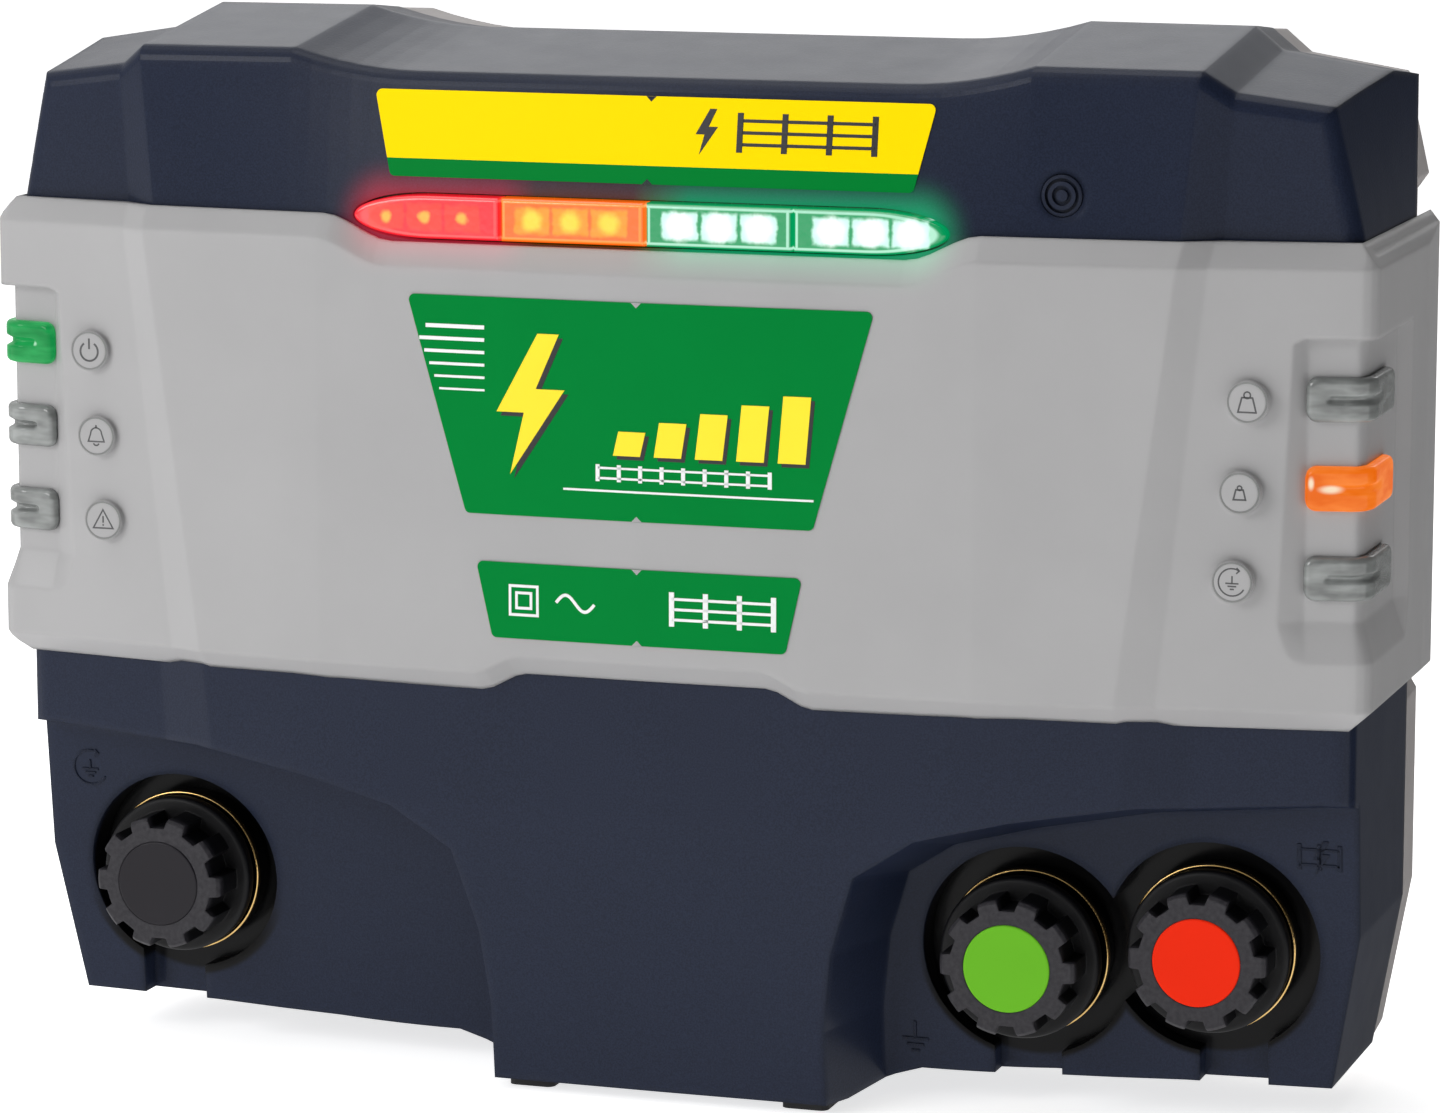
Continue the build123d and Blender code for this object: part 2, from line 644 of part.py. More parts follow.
with BuildPart() as indicator_leds:
    for side in (-1, 1):
        for z in GUIDE_Z:
            with BuildSketch(facing_front(side * 163, z, -23.6)):
                Rectangle(3.5, 3.0)
            extrude(amount=1.6)
save(indicator_leds, "indicator_leds")

with BuildPart() as sounder_grille:
    with BuildSketch(facing_front(103.5, 232, -40.5)):
        Circle(5.0)
    extrude(amount=3.2)
    with BuildSketch(facing_front(103.5, 232, -42.5)):
        Circle(4.2)
        Circle(3.4, mode=Mode.SUBTRACT)
        Circle(2.4)
        Circle(1.4, mode=Mode.SUBTRACT)
    extrude(amount=5, mode=Mode.SUBTRACT)
save(sounder_grille, "sounder_grille")

with BuildPart() as sounder:
    with BuildSketch(facing_front(103.5, 232, -27.0)):
        Circle(11)
    extrude(amount=10)
save(sounder, "sounder")


# ---------------------------------------------------------------- labels
LABEL_THICK = 0.3


def stuck_label(name, outline, surface, skin):
    """A sheet of even thickness that follows the moulding, cut to the outline (x, z)."""
    with BuildPart() as sheet:
        add(skin)
        add(surface, mode=Mode.SUBTRACT)
        with BuildSketch(Plane.XZ):
            Polygon(*outline, align=None)
            fillet(vertices(), radius=1.5)
        extrude(amount=80, mode=Mode.INTERSECT)
    save(sheet, name)


housing_surface = housing_block(0, SEAM_Y)
housing_skin = housing_block(-LABEL_THICK, SEAM_Y)
band_skin = band_block(-LABEL_THICK, bevelled=False)
stuck_label("hood_label", [(-67.1, 231.6), (67.1, 231.6), (72.1, 252.7), (-72.1, 252.7)],
            housing_surface, housing_skin)
stuck_label("model_label", [(-44.7, 149.9), (44.7, 149.9), (59.9, 203.6), (-59.9, 203.6)],
            band_solid, band_skin)
stuck_label("rating_label", [(-37.9, 119.2), (37.9, 119.2), (42.1, 138.1), (-42.1, 138.1)],
            band_solid, band_skin)


# ---------------------------------------------------------------- terminals
PLATE_R = 20.9
PLATE_THICK = 1.5
WASHER_R = 18.5
WASHER_THICK = 1.2
WASHER_GAP = 0.3
KNOB_BACK_Y = PLATE_Y - WASHER_GAP - WASHER_THICK - WASHER_GAP
KNOB_FRONT_Y = -35.85
FLANGE_R = 20.3
FLANGE_THICK = 3.4
LOBE_R = 17.1
ROOT_R = 14.4
LOBES = 10
CAP_R = 11.0
CAP_THICK = 1.6
STUD_FRONT_Y = -33.0
STUD_BACK_Y = 3.0
NUT_FRONT_Y = RECESS_Y + WALL
NUT_BACK_Y = NUT_FRONT_Y + 6.0

with BuildPart() as stud_nuts:
    for x, z, _, _ in TERMINALS.values():
        with BuildSketch(facing_front(x, z, NUT_BACK_Y)):
            RegularPolygon(7.5, 6)
            Circle(STUD_R, mode=Mode.SUBTRACT)
        extrude(amount=NUT_BACK_Y - NUT_FRONT_Y)
save(stud_nuts, "stud_nuts")

for name, (x, z, backed_off, _) in TERMINALS.items():
    with BuildPart() as stud:
        with BuildSketch(facing_front(x, z, STUD_BACK_Y)):
            Circle(STUD_R)
        extrude(amount=STUD_BACK_Y - STUD_FRONT_Y)
        chamfer(stud.faces().sort_by(Axis.Y)[0].edges(), length=0.6)
    save(stud, f"{name}_stud")

    with BuildPart() as contact_plate:
        with BuildSketch(facing_front(x, z, PLATE_Y + PLATE_THICK)):
            Circle(PLATE_R)
            Circle(STUD_R, mode=Mode.SUBTRACT)
        extrude(amount=PLATE_THICK)
        fillet(contact_plate.faces().sort_by(Axis.Y)[0].edges().sort_by(SortBy.RADIUS)[-1], radius=0.4)
    save(contact_plate, f"{name}_contact_plate")

    with BuildPart() as clamp_washer:
        with BuildSketch(facing_front(x, z, PLATE_Y - WASHER_GAP - backed_off)):
            Circle(WASHER_R)
            Circle(STUD_R + STUD_FIT, mode=Mode.SUBTRACT)
        extrude(amount=WASHER_THICK)
    save(clamp_washer, f"{name}_clamp_washer")

    with BuildPart() as knob:
        with BuildSketch(facing_front(x, z, KNOB_BACK_Y - backed_off)):
            Circle(FLANGE_R)
        extrude(amount=FLANGE_THICK)
        fillet(knob.faces().sort_by(Axis.Y)[0].edges(), radius=1.2)
        with BuildSketch(facing_front(x, z, KNOB_BACK_Y - backed_off)):
            Circle(LOBE_R)
        extrude(amount=KNOB_BACK_Y - KNOB_FRONT_Y)
        chamfer(knob.faces().sort_by(Axis.Y)[0].edges(), length=0.8)
        flute_back = KNOB_BACK_Y - backed_off - FLANGE_THICK
        with BuildSketch(facing_front(x, z, flute_back)):
            with PolarLocations(0, LOBES, start_angle=18):
                Polygon((ROOT_R, -1.9), (LOBE_R + 1.5, -3.6), (LOBE_R + 1.5, 3.6), (ROOT_R, 1.9), align=None)
        extrude(amount=40, mode=Mode.SUBTRACT)
        with BuildSketch(facing_front(x, z, KNOB_FRONT_Y - backed_off + CAP_THICK)):
            Circle(CAP_R)
        extrude(amount=10, mode=Mode.SUBTRACT)
        with BuildSketch(facing_front(x, z, KNOB_BACK_Y - backed_off + 1)):
            Circle(STUD_R + STUD_FIT)
        extrude(amount=KNOB_BACK_Y - STUD_FRONT_Y + 1.6, mode=Mode.SUBTRACT)
    save(knob, f"{name}_knob")

    with BuildPart() as knob_cap:
        with BuildSketch(facing_front(x, z, KNOB_FRONT_Y - backed_off + CAP_THICK)):
            Circle(CAP_R - 0.05)
        extrude(amount=CAP_THICK + 0.2)
        fillet(knob_cap.faces().sort_by(Axis.Y)[0].edges(), radius=0.4)
    save(knob_cap, f"{name}_knob_cap")


# ---------------------------------------------------------------- electronics
BOARD_Y = 32.0
BOARD_THICK = 1.6
POSTS = [(-120, 120), (120, 120), (-120, 214), (120, 214)]

with BuildPart() as main_board:
    with BuildSketch(facing_front(0, 0, BOARD_Y)):
        with Locations((0, 167)):
            RectangleRounded(256, 110, 3)
        with Locations(*POSTS):
            Circle(1.7, mode=Mode.SUBTRACT)
    extrude(amount=BOARD_THICK)
save(main_board, "main_board")

with BuildPart() as board_screws:
    for x, z in POSTS:
        with BuildSketch(facing_front(x, z, BOARD_Y - BOARD_THICK)):
            Circle(3.2)
        extrude(amount=2.2)
        with BuildSketch(facing_front(x, z, BOARD_Y + 8)):
            Circle(1.45)
        extrude(amount=8 + BOARD_THICK)
save(board_screws, "board_screws")

BOARD_FRONT_Y = BOARD_Y - BOARD_THICK
CAPACITOR_R = 20.0
with BuildPart() as storage_capacitors:
    for x in (-92, -47, -2):
        with BuildSketch(Plane.XY.offset(128)):
            with Locations((x, BOARD_FRONT_Y - CAPACITOR_R)):
                Circle(CAPACITOR_R)
        extrude(amount=74)
    fillet(storage_capacitors.edges().filter_by(GeomType.CIRCLE), radius=2)
save(storage_capacitors, "storage_capacitors")

with BuildPart() as heat_sink:
    with BuildSketch(Plane.XY.offset(160)):
        with Locations((66, BOARD_FRONT_Y - 2)):
            Rectangle(60, 4)
        with Locations((66, BOARD_FRONT_Y - 14)):
            with GridLocations(8, 1, 8, 1):
                Rectangle(2, 22)
    extrude(amount=48)
save(heat_sink, "heat_sink")

with BuildPart() as thyristors:
    with BuildSketch(facing_front(66, 151, BOARD_FRONT_Y)):
        with GridLocations(26, 1, 2, 1):
            Rectangle(15, 15)
    extrude(amount=5)
save(thyristors, "thyristors")

with BuildPart() as fuse_holder:
    with BuildSketch(facing_front(46, 126, BOARD_FRONT_Y)):
        RectangleRounded(30, 11, 1.5)
    extrude(amount=12)
save(fuse_holder, "fuse_holder")

with BuildPart() as line_choke:
    with BuildSketch(Plane.XY.offset(118)):
        with Locations((90, BOARD_FRONT_Y - 14)):
            Circle(13)
            Circle(6, mode=Mode.SUBTRACT)
    extrude(amount=16)
    fillet(line_choke.edges().filter_by(GeomType.CIRCLE), radius=1.5)
save(line_choke, "line_choke")

with BuildPart() as mains_terminal_block:
    with BuildSketch(facing_front(-26, 119.5, BOARD_FRONT_Y)):
        Rectangle(32, 10)
    extrude(amount=13)
    with BuildSketch(facing_front(-26, 119.5, BOARD_FRONT_Y - 13)):
        with GridLocations(10, 1, 3, 1):
            Circle(2.2)
    extrude(amount=-9, mode=Mode.SUBTRACT)
save(mains_terminal_block, "mains_terminal_block")

# pulse transformer: a laminated core round a wound coil, strapped to the rear wall
CORE_X = 0.0
CORE_Z = 60.0
CORE_FRONT_Y = -24.0
CORE_BACK_Y = 20.0
with BuildPart() as transformer_core:
    with BuildSketch(facing_front(CORE_X, CORE_Z, CORE_BACK_Y)):
        Rectangle(78, 66)
        with GridLocations(38, 1, 2, 1):
            Rectangle(14, 40, mode=Mode.SUBTRACT)
    extrude(amount=CORE_BACK_Y - CORE_FRONT_Y)
save(transformer_core, "transformer_core")

with BuildPart() as transformer_coil:
    with BuildSketch(Plane.XY.offset(CORE_Z - 19)):
        with Locations((CORE_X, (CORE_FRONT_Y + CORE_BACK_Y) / 2)):
            RectangleRounded(50, 68, 8)
            Rectangle(24.4, CORE_BACK_Y - CORE_FRONT_Y + 0.4, mode=Mode.SUBTRACT)
    extrude(amount=38)
save(transformer_coil, "transformer_coil")

STRAP = 2.0
STRAP_X = (CORE_X - 39, CORE_X + 39)
with BuildPart() as transformer_strap:
    with BuildSketch(Plane.XY.offset(CORE_Z + 33)):
        with Locations((CORE_X, (CORE_FRONT_Y + CORE_BACK_Y) / 2)):
            Rectangle(78, 16)
    extrude(amount=STRAP)
    for x, side in ((STRAP_X[0], -1), (STRAP_X[1], 1)):
        with BuildSketch(Plane.XY.offset(CORE_Z - 4)):
            with Locations((x + side * STRAP / 2, (BACK_Y - WALL - 10) / 2)):
                Rectangle(STRAP, BACK_Y - WALL + 10)
        extrude(amount=37 + STRAP)
        with BuildSketch(facing_front(x + side * 7, CORE_Z + 14.5, BACK_Y - WALL)):
            Rectangle(14, 37)
        extrude(amount=STRAP)
        with BuildSketch(facing_front(x + side * 8, CORE_Z + 14.5, BACK_Y - WALL)):
            with GridLocations(1, 20, 1, 2):
                Circle(2.2)
        extrude(amount=20, mode=Mode.SUBTRACT)
save(transformer_strap, "transformer_strap")

with BuildPart() as strap_screws:
    for x, side in ((STRAP_X[0], -1), (STRAP_X[1], 1)):
        for z in (CORE_Z + 4.5, CORE_Z + 24.5):
            with BuildSketch(facing_front(x + side * 8, z, BACK_Y - WALL - STRAP)):
                Circle(3.6)
            extrude(amount=2.4)
            with BuildSketch(facing_front(x + side * 8, z, BACK_Y - WALL)):
                Circle(1.9)
            extrude(amount=STRAP)
save(strap_screws, "strap_screws")


# ---------------------------------------------------------------- mains inlet
with BuildPart() as gland_body:
    with BuildSketch(Plane.XY.offset(GLAND_SEAT_Z - 10)):
        with Locations((GLAND_X, GLAND_Y)):
            RegularPolygon(7.2, 6)
    extrude(amount=10)
    with BuildSketch(Plane.XY.offset(GLAND_SEAT_Z)):
        with Locations((GLAND_X, GLAND_Y)):
            Circle(6.0)
    extrude(amount=12)
    with BuildSketch(Plane.XY):
        with Locations((GLAND_X, GLAND_Y)):
            Circle(3.6)
    extrude(amount=60, mode=Mode.SUBTRACT)
save(gland_body, "gland_body")

with BuildPart() as gland_nut:
    with BuildSketch(Plane.XY.offset(GLAND_SEAT_Z + WALL)):
        with Locations((GLAND_X, GLAND_Y)):
            RegularPolygon(7.4, 6)
            Circle(6.0, mode=Mode.SUBTRACT)
    extrude(amount=5)
save(gland_nut, "gland_nut")


# ---------------------------------------------------------------- leads inside the case
LEAD_R = 1.8
LEAD_Y = 26.0
LEAD_BEND = 7.0
COIL_TOP_Z = CORE_Z + 19
LEAD_RUNS = {"earth_test": (-10.0, 99.5), "ground": (18.0, 99.5), "fence": (8.0, 104.5)}

for name, (end_x, run_z) in LEAD_RUNS.items():
    x, z = TERMINALS[name][:2]
    with BuildPart() as lead:
        with BuildLine() as route:
            FilletPolyline(
                (x, STUD_BACK_Y, z), (x, LEAD_Y, z), (x, LEAD_Y, run_z),
                (end_x, LEAD_Y, run_z), (end_x, LEAD_Y, COIL_TOP_Z), radius=LEAD_BEND,
            )
        with BuildSketch(facing_front(x, z, STUD_BACK_Y)):
            Circle(LEAD_R)
        sweep(path=route.wires()[0])
    save(lead, f"{name}_lead")
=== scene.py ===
"""Looks of the fence energizer: materials, printed and moulded symbols, light guides, light and camera."""

import json
import math

import bmesh
import bpy
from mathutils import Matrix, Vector
from mathutils.bvhtree import BVHTree


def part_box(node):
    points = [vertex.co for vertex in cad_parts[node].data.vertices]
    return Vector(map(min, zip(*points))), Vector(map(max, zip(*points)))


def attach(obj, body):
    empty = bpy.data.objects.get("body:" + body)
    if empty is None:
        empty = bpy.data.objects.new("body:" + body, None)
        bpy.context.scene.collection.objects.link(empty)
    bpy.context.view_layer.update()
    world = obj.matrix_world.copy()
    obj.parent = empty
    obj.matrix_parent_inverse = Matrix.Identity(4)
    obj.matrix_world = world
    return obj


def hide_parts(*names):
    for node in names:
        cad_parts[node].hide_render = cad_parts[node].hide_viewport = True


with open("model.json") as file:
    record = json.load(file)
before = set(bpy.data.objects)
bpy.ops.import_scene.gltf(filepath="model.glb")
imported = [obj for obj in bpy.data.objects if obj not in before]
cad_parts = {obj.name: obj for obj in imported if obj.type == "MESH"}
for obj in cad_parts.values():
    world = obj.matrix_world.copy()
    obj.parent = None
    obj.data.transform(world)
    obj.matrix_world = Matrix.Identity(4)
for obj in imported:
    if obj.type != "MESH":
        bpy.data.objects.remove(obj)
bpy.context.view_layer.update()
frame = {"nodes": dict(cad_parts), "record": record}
NODES = frame["nodes"]
MM = 0.001

# ---------------------------------------------------------------- places worked out from the frame
BAR_LOW, BAR_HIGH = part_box("red_bar_lens")
BAR_Z = (BAR_LOW[2] + BAR_HIGH[2]) / 2
LED_PITCH = 10.0 * MM
WINDOW_PITCH = 38.2 * MM
LENS_SPLIT = 37.6 * MM
BAR_STRAIGHT = 56.1 * MM
BAR_NOSE = 20.0 * MM
BAR_HALF_TALL = (BAR_HIGH[2] - BAR_LOW[2]) / 2
GLOW_HALF = 68 * MM  # half the length of the bar that spills light
GLOW_SPAN = 90 * MM  # half the width over which the spill changes colour
RIM_AT = 0.84  # place of a lens's bright rim line, as a share of its half height
LENS_END = 60 * MM  # no end rims beyond this, in the pointed noses
TERMINALS = {}
for terminal in ("earth_test", "ground", "fence"):
    low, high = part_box(f"{terminal}_contact_plate")
    TERMINALS[terminal] = ((low[0] + high[0]) / 2, (low[2] + high[2]) / 2)

NAVY = (0.0112, 0.0158, 0.0330)
BAND_GREY = (0.358, 0.354, 0.358)
REAR_GREY = (0.37, 0.345, 0.34)
YELLOW = (1.0, 0.705, 0.0)
PRINT_GREEN = (0.0, 0.200, 0.033)
HOOD_STRIP_GREEN = (0.0, 0.195, 0.028)
GLOWS = ((0.34, 0.008, 0.02), (0.09, 0.02, 0.0), (0.0, 0.30, 0.11))  # spill of the red, amber and green LEDs

# ---------------------------------------------------------------- material helpers


class Shader:
    """One node material with a Principled shader, built up by small calls."""

    def __init__(self, name, color, roughness, **sockets):
        self.material = bpy.data.materials.new(name)
        self.material.use_nodes = True
        self.tree = self.material.node_tree
        self.tree.nodes.clear()
        output = self.add("ShaderNodeOutputMaterial")
        self.bsdf = self.add("ShaderNodeBsdfPrincipled")
        self.link(self.bsdf.outputs[0], output.inputs[0])
        self.bsdf.inputs["Base Color"].default_value = (*color, 1)
        self.bsdf.inputs["Roughness"].default_value = roughness
        for socket, value in sockets.items():
            self.bsdf.inputs[socket.replace("_", " ")].default_value = value
        self.color = color
        self.position = self.add("ShaderNodeTexCoord").outputs["Object"]
        self.normal = None

    def add(self, kind, **settings):
        node = self.tree.nodes.new(kind)
        for key, value in settings.items():
            setattr(node, key, value)
        return node

    def link(self, source, target):
        self.tree.links.new(source, target)

    def noise(self, size_mm, detail=2.0, stretch=(1, 1, 1)):
        """Noise whose lumps are about size_mm across."""
        noise = self.add("ShaderNodeTexNoise")
        noise.inputs["Scale"].default_value = 1000 / size_mm
        noise.inputs["Detail"].default_value = detail
        if stretch != (1, 1, 1):
            mapping = self.add("ShaderNodeMapping")
            mapping.inputs["Scale"].default_value = stretch
            self.link(self.position, mapping.inputs["Vector"])
            self.link(mapping.outputs[0], noise.inputs["Vector"])
        else:
            self.link(self.position, noise.inputs["Vector"])
        return noise.outputs["Fac"]

    def ramp(self, value, stops):
        """Colour ramp; stops are (place, colour)."""
        ramp = self.add("ShaderNodeValToRGB")
        elements = ramp.color_ramp.elements
        while len(elements) < len(stops):
            elements.new(0.5)
        for element, (place, color) in zip(elements, stops):
            element.position = place
            element.color = (*color, 1)
        self.link(value, ramp.inputs[0])
        return ramp.outputs[0]

    def math(self, operation, first, second=None, third=None):
        node = self.add("ShaderNodeMath", operation=operation)
        for socket, value in zip(node.inputs, (first, second, third)):
            if value is None:
                continue
            if isinstance(value, (int, float)):
                socket.default_value = value
            else:
                self.link(value, socket)
        return node.outputs[0]

    def axis(self, letter):
        split = self.add("ShaderNodeSeparateXYZ")
        self.link(self.position, split.inputs[0])
        return split.outputs[letter]

    def shade_color(self, socket):
        self.link(socket, self.bsdf.inputs["Base Color"])

    def mottle(self, spread, size_mm=35.0):
        """Slight change of tone over the surface."""
        dark = tuple(c * (1 - spread) for c in self.color)
        light = tuple(min(1, c * (1 + spread)) for c in self.color)
        self.shade_color(self.ramp(self.noise(size_mm, 3), [(0.3, dark), (0.7, light)]))

    def step(self, value, start_mm, end_mm, first=0.0, last=1.0):
        """Smooth change from first to last as value goes from start_mm to end_mm."""
        node = self.add("ShaderNodeMapRange", interpolation_type="SMOOTHSTEP")
        for socket, number in zip(node.inputs[1:5], (start_mm * MM, end_mm * MM, first, last)):
            socket.default_value = number
        self.link(value, node.inputs[0])
        return node.outputs[0]

    def both(self, first, second):
        return self.math("MULTIPLY", first, second)

    def blend(self, factor, first, second):
        """Colour that goes from first to second with factor; each may be a socket."""
        node = self.add("ShaderNodeMix", data_type="RGBA")
        if isinstance(factor, float):
            node.inputs[0].default_value = factor
        else:
            self.link(factor, node.inputs[0])
        for socket, value in ((node.inputs[6], first), (node.inputs[7], second)):
            if isinstance(value, tuple):
                socket.default_value = (*value, 1)
            else:
                self.link(value, socket)
        return node.outputs[2]

    def away_from(self, x, z, x_scale=1.0):
        """Distance from an axis that runs along Y."""
        dx = self.math("MULTIPLY", self.math("SUBTRACT", self.axis("X"), x), x_scale)
        dz = self.math("SUBTRACT", self.axis("Z"), z)
        return self.math("SQRT", self.math("ADD", self.both(dx, dx), self.both(dz, dz)))

    def from_terminals(self):
        """Distance from the nearest terminal's axis."""
        nearest = None
        for x, z in TERMINALS.values():
            away = self.away_from(x, z)
            nearest = away if nearest is None else self.math("MINIMUM", nearest, away)
        return nearest

    def bar_glow(self, share):
        """Light that the light bar spills onto the moulding around it."""
        past = self.math("SUBTRACT", self.math("ABSOLUTE", self.axis("X")), GLOW_HALF)
        past = self.math("MAXIMUM", past, 0)
        dz = self.math("SUBTRACT", self.axis("Z"), BAR_Z)
        away = self.math("SQRT", self.math("ADD", self.both(past, past), self.both(dz, dz)))
        near = self.step(away, 3.5, 17, 1, 0)
        front = self.step(self.axis("Y"), -43, -34, 1, 0)
        near = self.both(self.both(near, near), front)
        place = self.add("ShaderNodeMapRange")
        place.inputs[1].default_value, place.inputs[2].default_value = -GLOW_SPAN, GLOW_SPAN
        self.link(self.axis("X"), place.inputs[0])
        red, amber, green = [tuple(c * share for c in tint) for tint in GLOWS]
        stops = [(0.08, red), (0.29, red), (0.34, amber), (0.48, amber), (0.56, green), (0.95, green)]
        self.link(self.ramp(place.outputs[0], stops), self.bsdf.inputs["Emission Color"])
        self.link(near, self.bsdf.inputs["Emission Strength"])

    def bump(self, height, strength, distance_mm):
        bump = self.add("ShaderNodeBump")
        bump.inputs["Strength"].default_value = strength
        bump.inputs["Distance"].default_value = distance_mm * MM
        self.link(height, bump.inputs["Height"])
        if self.normal is not None:
            self.link(self.normal, bump.inputs["Normal"])
        self.normal = bump.outputs[0]
        self.link(self.normal, self.bsdf.inputs["Normal"])

    def soften(self, radius_mm):
        """Rounded look for the moulding's edges."""
        bevel = self.add("ShaderNodeBevel", samples=6)
        bevel.inputs["Radius"].default_value = radius_mm * MM
        self.normal = bevel.outputs[0]
        self.link(self.normal, self.bsdf.inputs["Normal"])

    def vary_roughness(self, low, high, size_mm):
        noise = self.noise(size_mm, 3)
        spread = self.add("ShaderNodeMapRange")
        spread.inputs["To Min"].default_value = low
        spread.inputs["To Max"].default_value = high
        self.link(noise, spread.inputs["Value"])
        self.link(spread.outputs[0], self.bsdf.inputs["Roughness"])


def moulded(name, color, rough_low, rough_high, grain_mm, grain_depth, edge_mm=1.2, spread=0.06, **sockets):
    """Moulded plastic: fine grain, slight change of tone and gloss, softened edges."""
    shader = Shader(name, color, rough_low, **sockets)
    shader.soften(edge_mm)
    shader.mottle(spread)
    shader.vary_roughness(rough_low, rough_high, 12)
    shader.bump(shader.noise(grain_mm, 2), 0.5, grain_depth)
    return shader.material


def navy_moulding():
    """Dark blue plastic with a fine spark grain; the inside of the terminal recesses is painted near-black,
    as painted shade.
    """
    finish = {"Specular_IOR_Level": 0.07, "Coat_Weight": 0.16, "Coat_Roughness": 0.16}
    shader = Shader("navy_plastic", NAVY, 0.34, **finish)
    shader.soften(3.4)
    dark = tuple(0.72 * c for c in NAVY)
    light = tuple(1.42 * c for c in NAVY)
    grain = shader.ramp(shader.noise(0.42, 1), [(0.36, dark), (0.66, light)])
    tone = shader.ramp(shader.noise(40, 2), [(0.3, NAVY), (0.7, tuple(1.12 * c for c in NAVY))])
    tint = shader.blend(0.5, grain, tone)
    # painted shade: near-black is painted inside the terminal recesses, where the recess shade falls
    around = shader.step(shader.from_terminals(), 27.5, 29, 1, 0)
    inside = shader.both(around, shader.step(shader.axis("Y"), -18.6, -16.8))
    shader.shade_color(shader.blend(inside, tint, (0.0016, 0.0016, 0.0022)))
    shader.vary_roughness(0.30, 0.38, 12)
    shader.bar_glow(1.0)
    shader.bump(shader.noise(0.55, 2), 0.5, 0.10)
    return shader.material


def band_moulding():
    """Light grey satin plastic."""
    shader = Shader("grey_plastic", BAND_GREY, 0.32, Specular_IOR_Level=0.35)
    shader.soften(1.9)
    shader.mottle(0.025)
    shader.vary_roughness(0.28, 0.36, 12)
    shader.bar_glow(0.75)
    shader.bump(shader.noise(0.7, 2), 0.5, 0.035)
    return shader.material


def metal(name, color, rough_low, rough_high, stretch=(1, 1, 1)):
    """Bare metal with fine tool marks."""
    shader = Shader(name, color, rough_low, Metallic=1.0)
    shader.mottle(0.12, 6)
    shader.vary_roughness(rough_low, rough_high, 3)
    shader.bump(shader.noise(0.6, 3, stretch), 0.3, 0.05)
    return shader.material


def printed_film(name, color):
    """Printed label film, with a barely wavy gloss."""
    shader = Shader(name, color, 0.34, Specular_IOR_Level=0.03)
    shader.mottle(0.02, 20)
    shader.vary_roughness(0.26, 0.38, 9)
    shader.bump(shader.noise(6, 2), 0.12, 0.04)
    return shader


def hood_label_film():
    """Yellow film whose lowest fifth is printed green."""
    low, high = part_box("hood_label")
    shader = printed_film("hood_label_film", YELLOW)
    edge = low[2] + 0.21 * (high[2] - low[2])
    below = shader.math("LESS_THAN", shader.axis("Z"), edge)
    shader.shade_color(shader.ramp(below, [(0.0, YELLOW), (1.0, HOOD_STRIP_GREEN)]))
    return shader.material


def lens(name, body, rim, cell, core, cell_share, core_mm):
    """Lit lens: a bright rim line, and three cells with a hot core each."""
    shader = Shader(name, tuple(0.25 * c for c in body), 0.14, Coat_Weight=0.5)
    across = shader.axis("X")
    high = shader.math("ABSOLUTE", shader.math("SUBTRACT", shader.axis("Z"), BAR_Z))
    wavy = shader.math("MULTIPLY", shader.math("SUBTRACT", shader.noise(2.6, 2), 0.5), 1.6 * MM)
    past = shader.math("SUBTRACT", shader.math("ABSOLUTE", across), BAR_STRAIGHT)
    past = shader.math("MAXIMUM", past, 0)
    past = shader.math("DIVIDE", past, BAR_NOSE)
    rise = shader.math("DIVIDE", high, BAR_HALF_TALL)
    round_out = shader.math("SQRT", shader.math("ADD", shader.both(past, past), shader.both(rise, rise)))
    line = shader.math("ABSOLUTE", shader.math("SUBTRACT", round_out, RIM_AT))
    long_rim = shader.step(line, 25, 95, 1, 0)
    split = shader.math("DIVIDE", across, LENS_SPLIT)
    split = shader.math("ABSOLUTE", shader.math("SUBTRACT", split, shader.math("ROUND", split)))
    split = shader.math("MULTIPLY", split, LENS_SPLIT)
    end_rim = shader.step(shader.math("ABSOLUTE", shader.math("SUBTRACT", split, 1.15 * MM)), 0.15, 0.5, 1, 0)
    end_rim = shader.both(end_rim, shader.math("LESS_THAN", round_out, RIM_AT + 0.02))
    end_rim = shader.both(end_rim, shader.math("LESS_THAN", shader.math("ABSOLUTE", across), LENS_END))
    rims = shader.math("MAXIMUM", long_rim, end_rim)
    window = shader.math("SUBTRACT", shader.math("DIVIDE", across, WINDOW_PITCH), 0.5)
    middle = shader.math("MULTIPLY", shader.math("ADD", shader.math("ROUND", window), 0.5), WINDOW_PITCH)
    offset = shader.math("SUBTRACT", across, middle)
    led = shader.math("ROUND", shader.math("DIVIDE", offset, LED_PITCH))
    led = shader.math("MINIMUM", shader.math("MAXIMUM", led, -1), 1)
    dx = shader.math("ABSOLUTE", shader.math("SUBTRACT", offset, shader.math("MULTIPLY", led, LED_PITCH)))
    box = shader.both(
        shader.step(shader.math("ADD", dx, wavy), 4.1, 5.0, 1, 0),
        shader.step(shader.math("ADD", high, wavy), 2.6, 3.9, 1, 0),
    )
    away = shader.math("SQRT", shader.math("ADD", shader.both(dx, dx), shader.both(high, high)))
    hot = shader.step(shader.math("ADD", away, wavy), 0.35 * core_mm, core_mm, 1, 0)
    tint = shader.blend(shader.math("MULTIPLY", rims, 0.8), body, rim)
    tint = shader.blend(shader.math("MULTIPLY", box, cell_share), tint, cell)
    tint = shader.blend(hot, tint, core)
    shader.link(tint, shader.bsdf.inputs["Emission Color"])
    shader.bsdf.inputs["Emission Strength"].default_value = 1.0
    shader.bump(shader.noise(2.2, 1), 0.25, 0.3)
    return shader.material


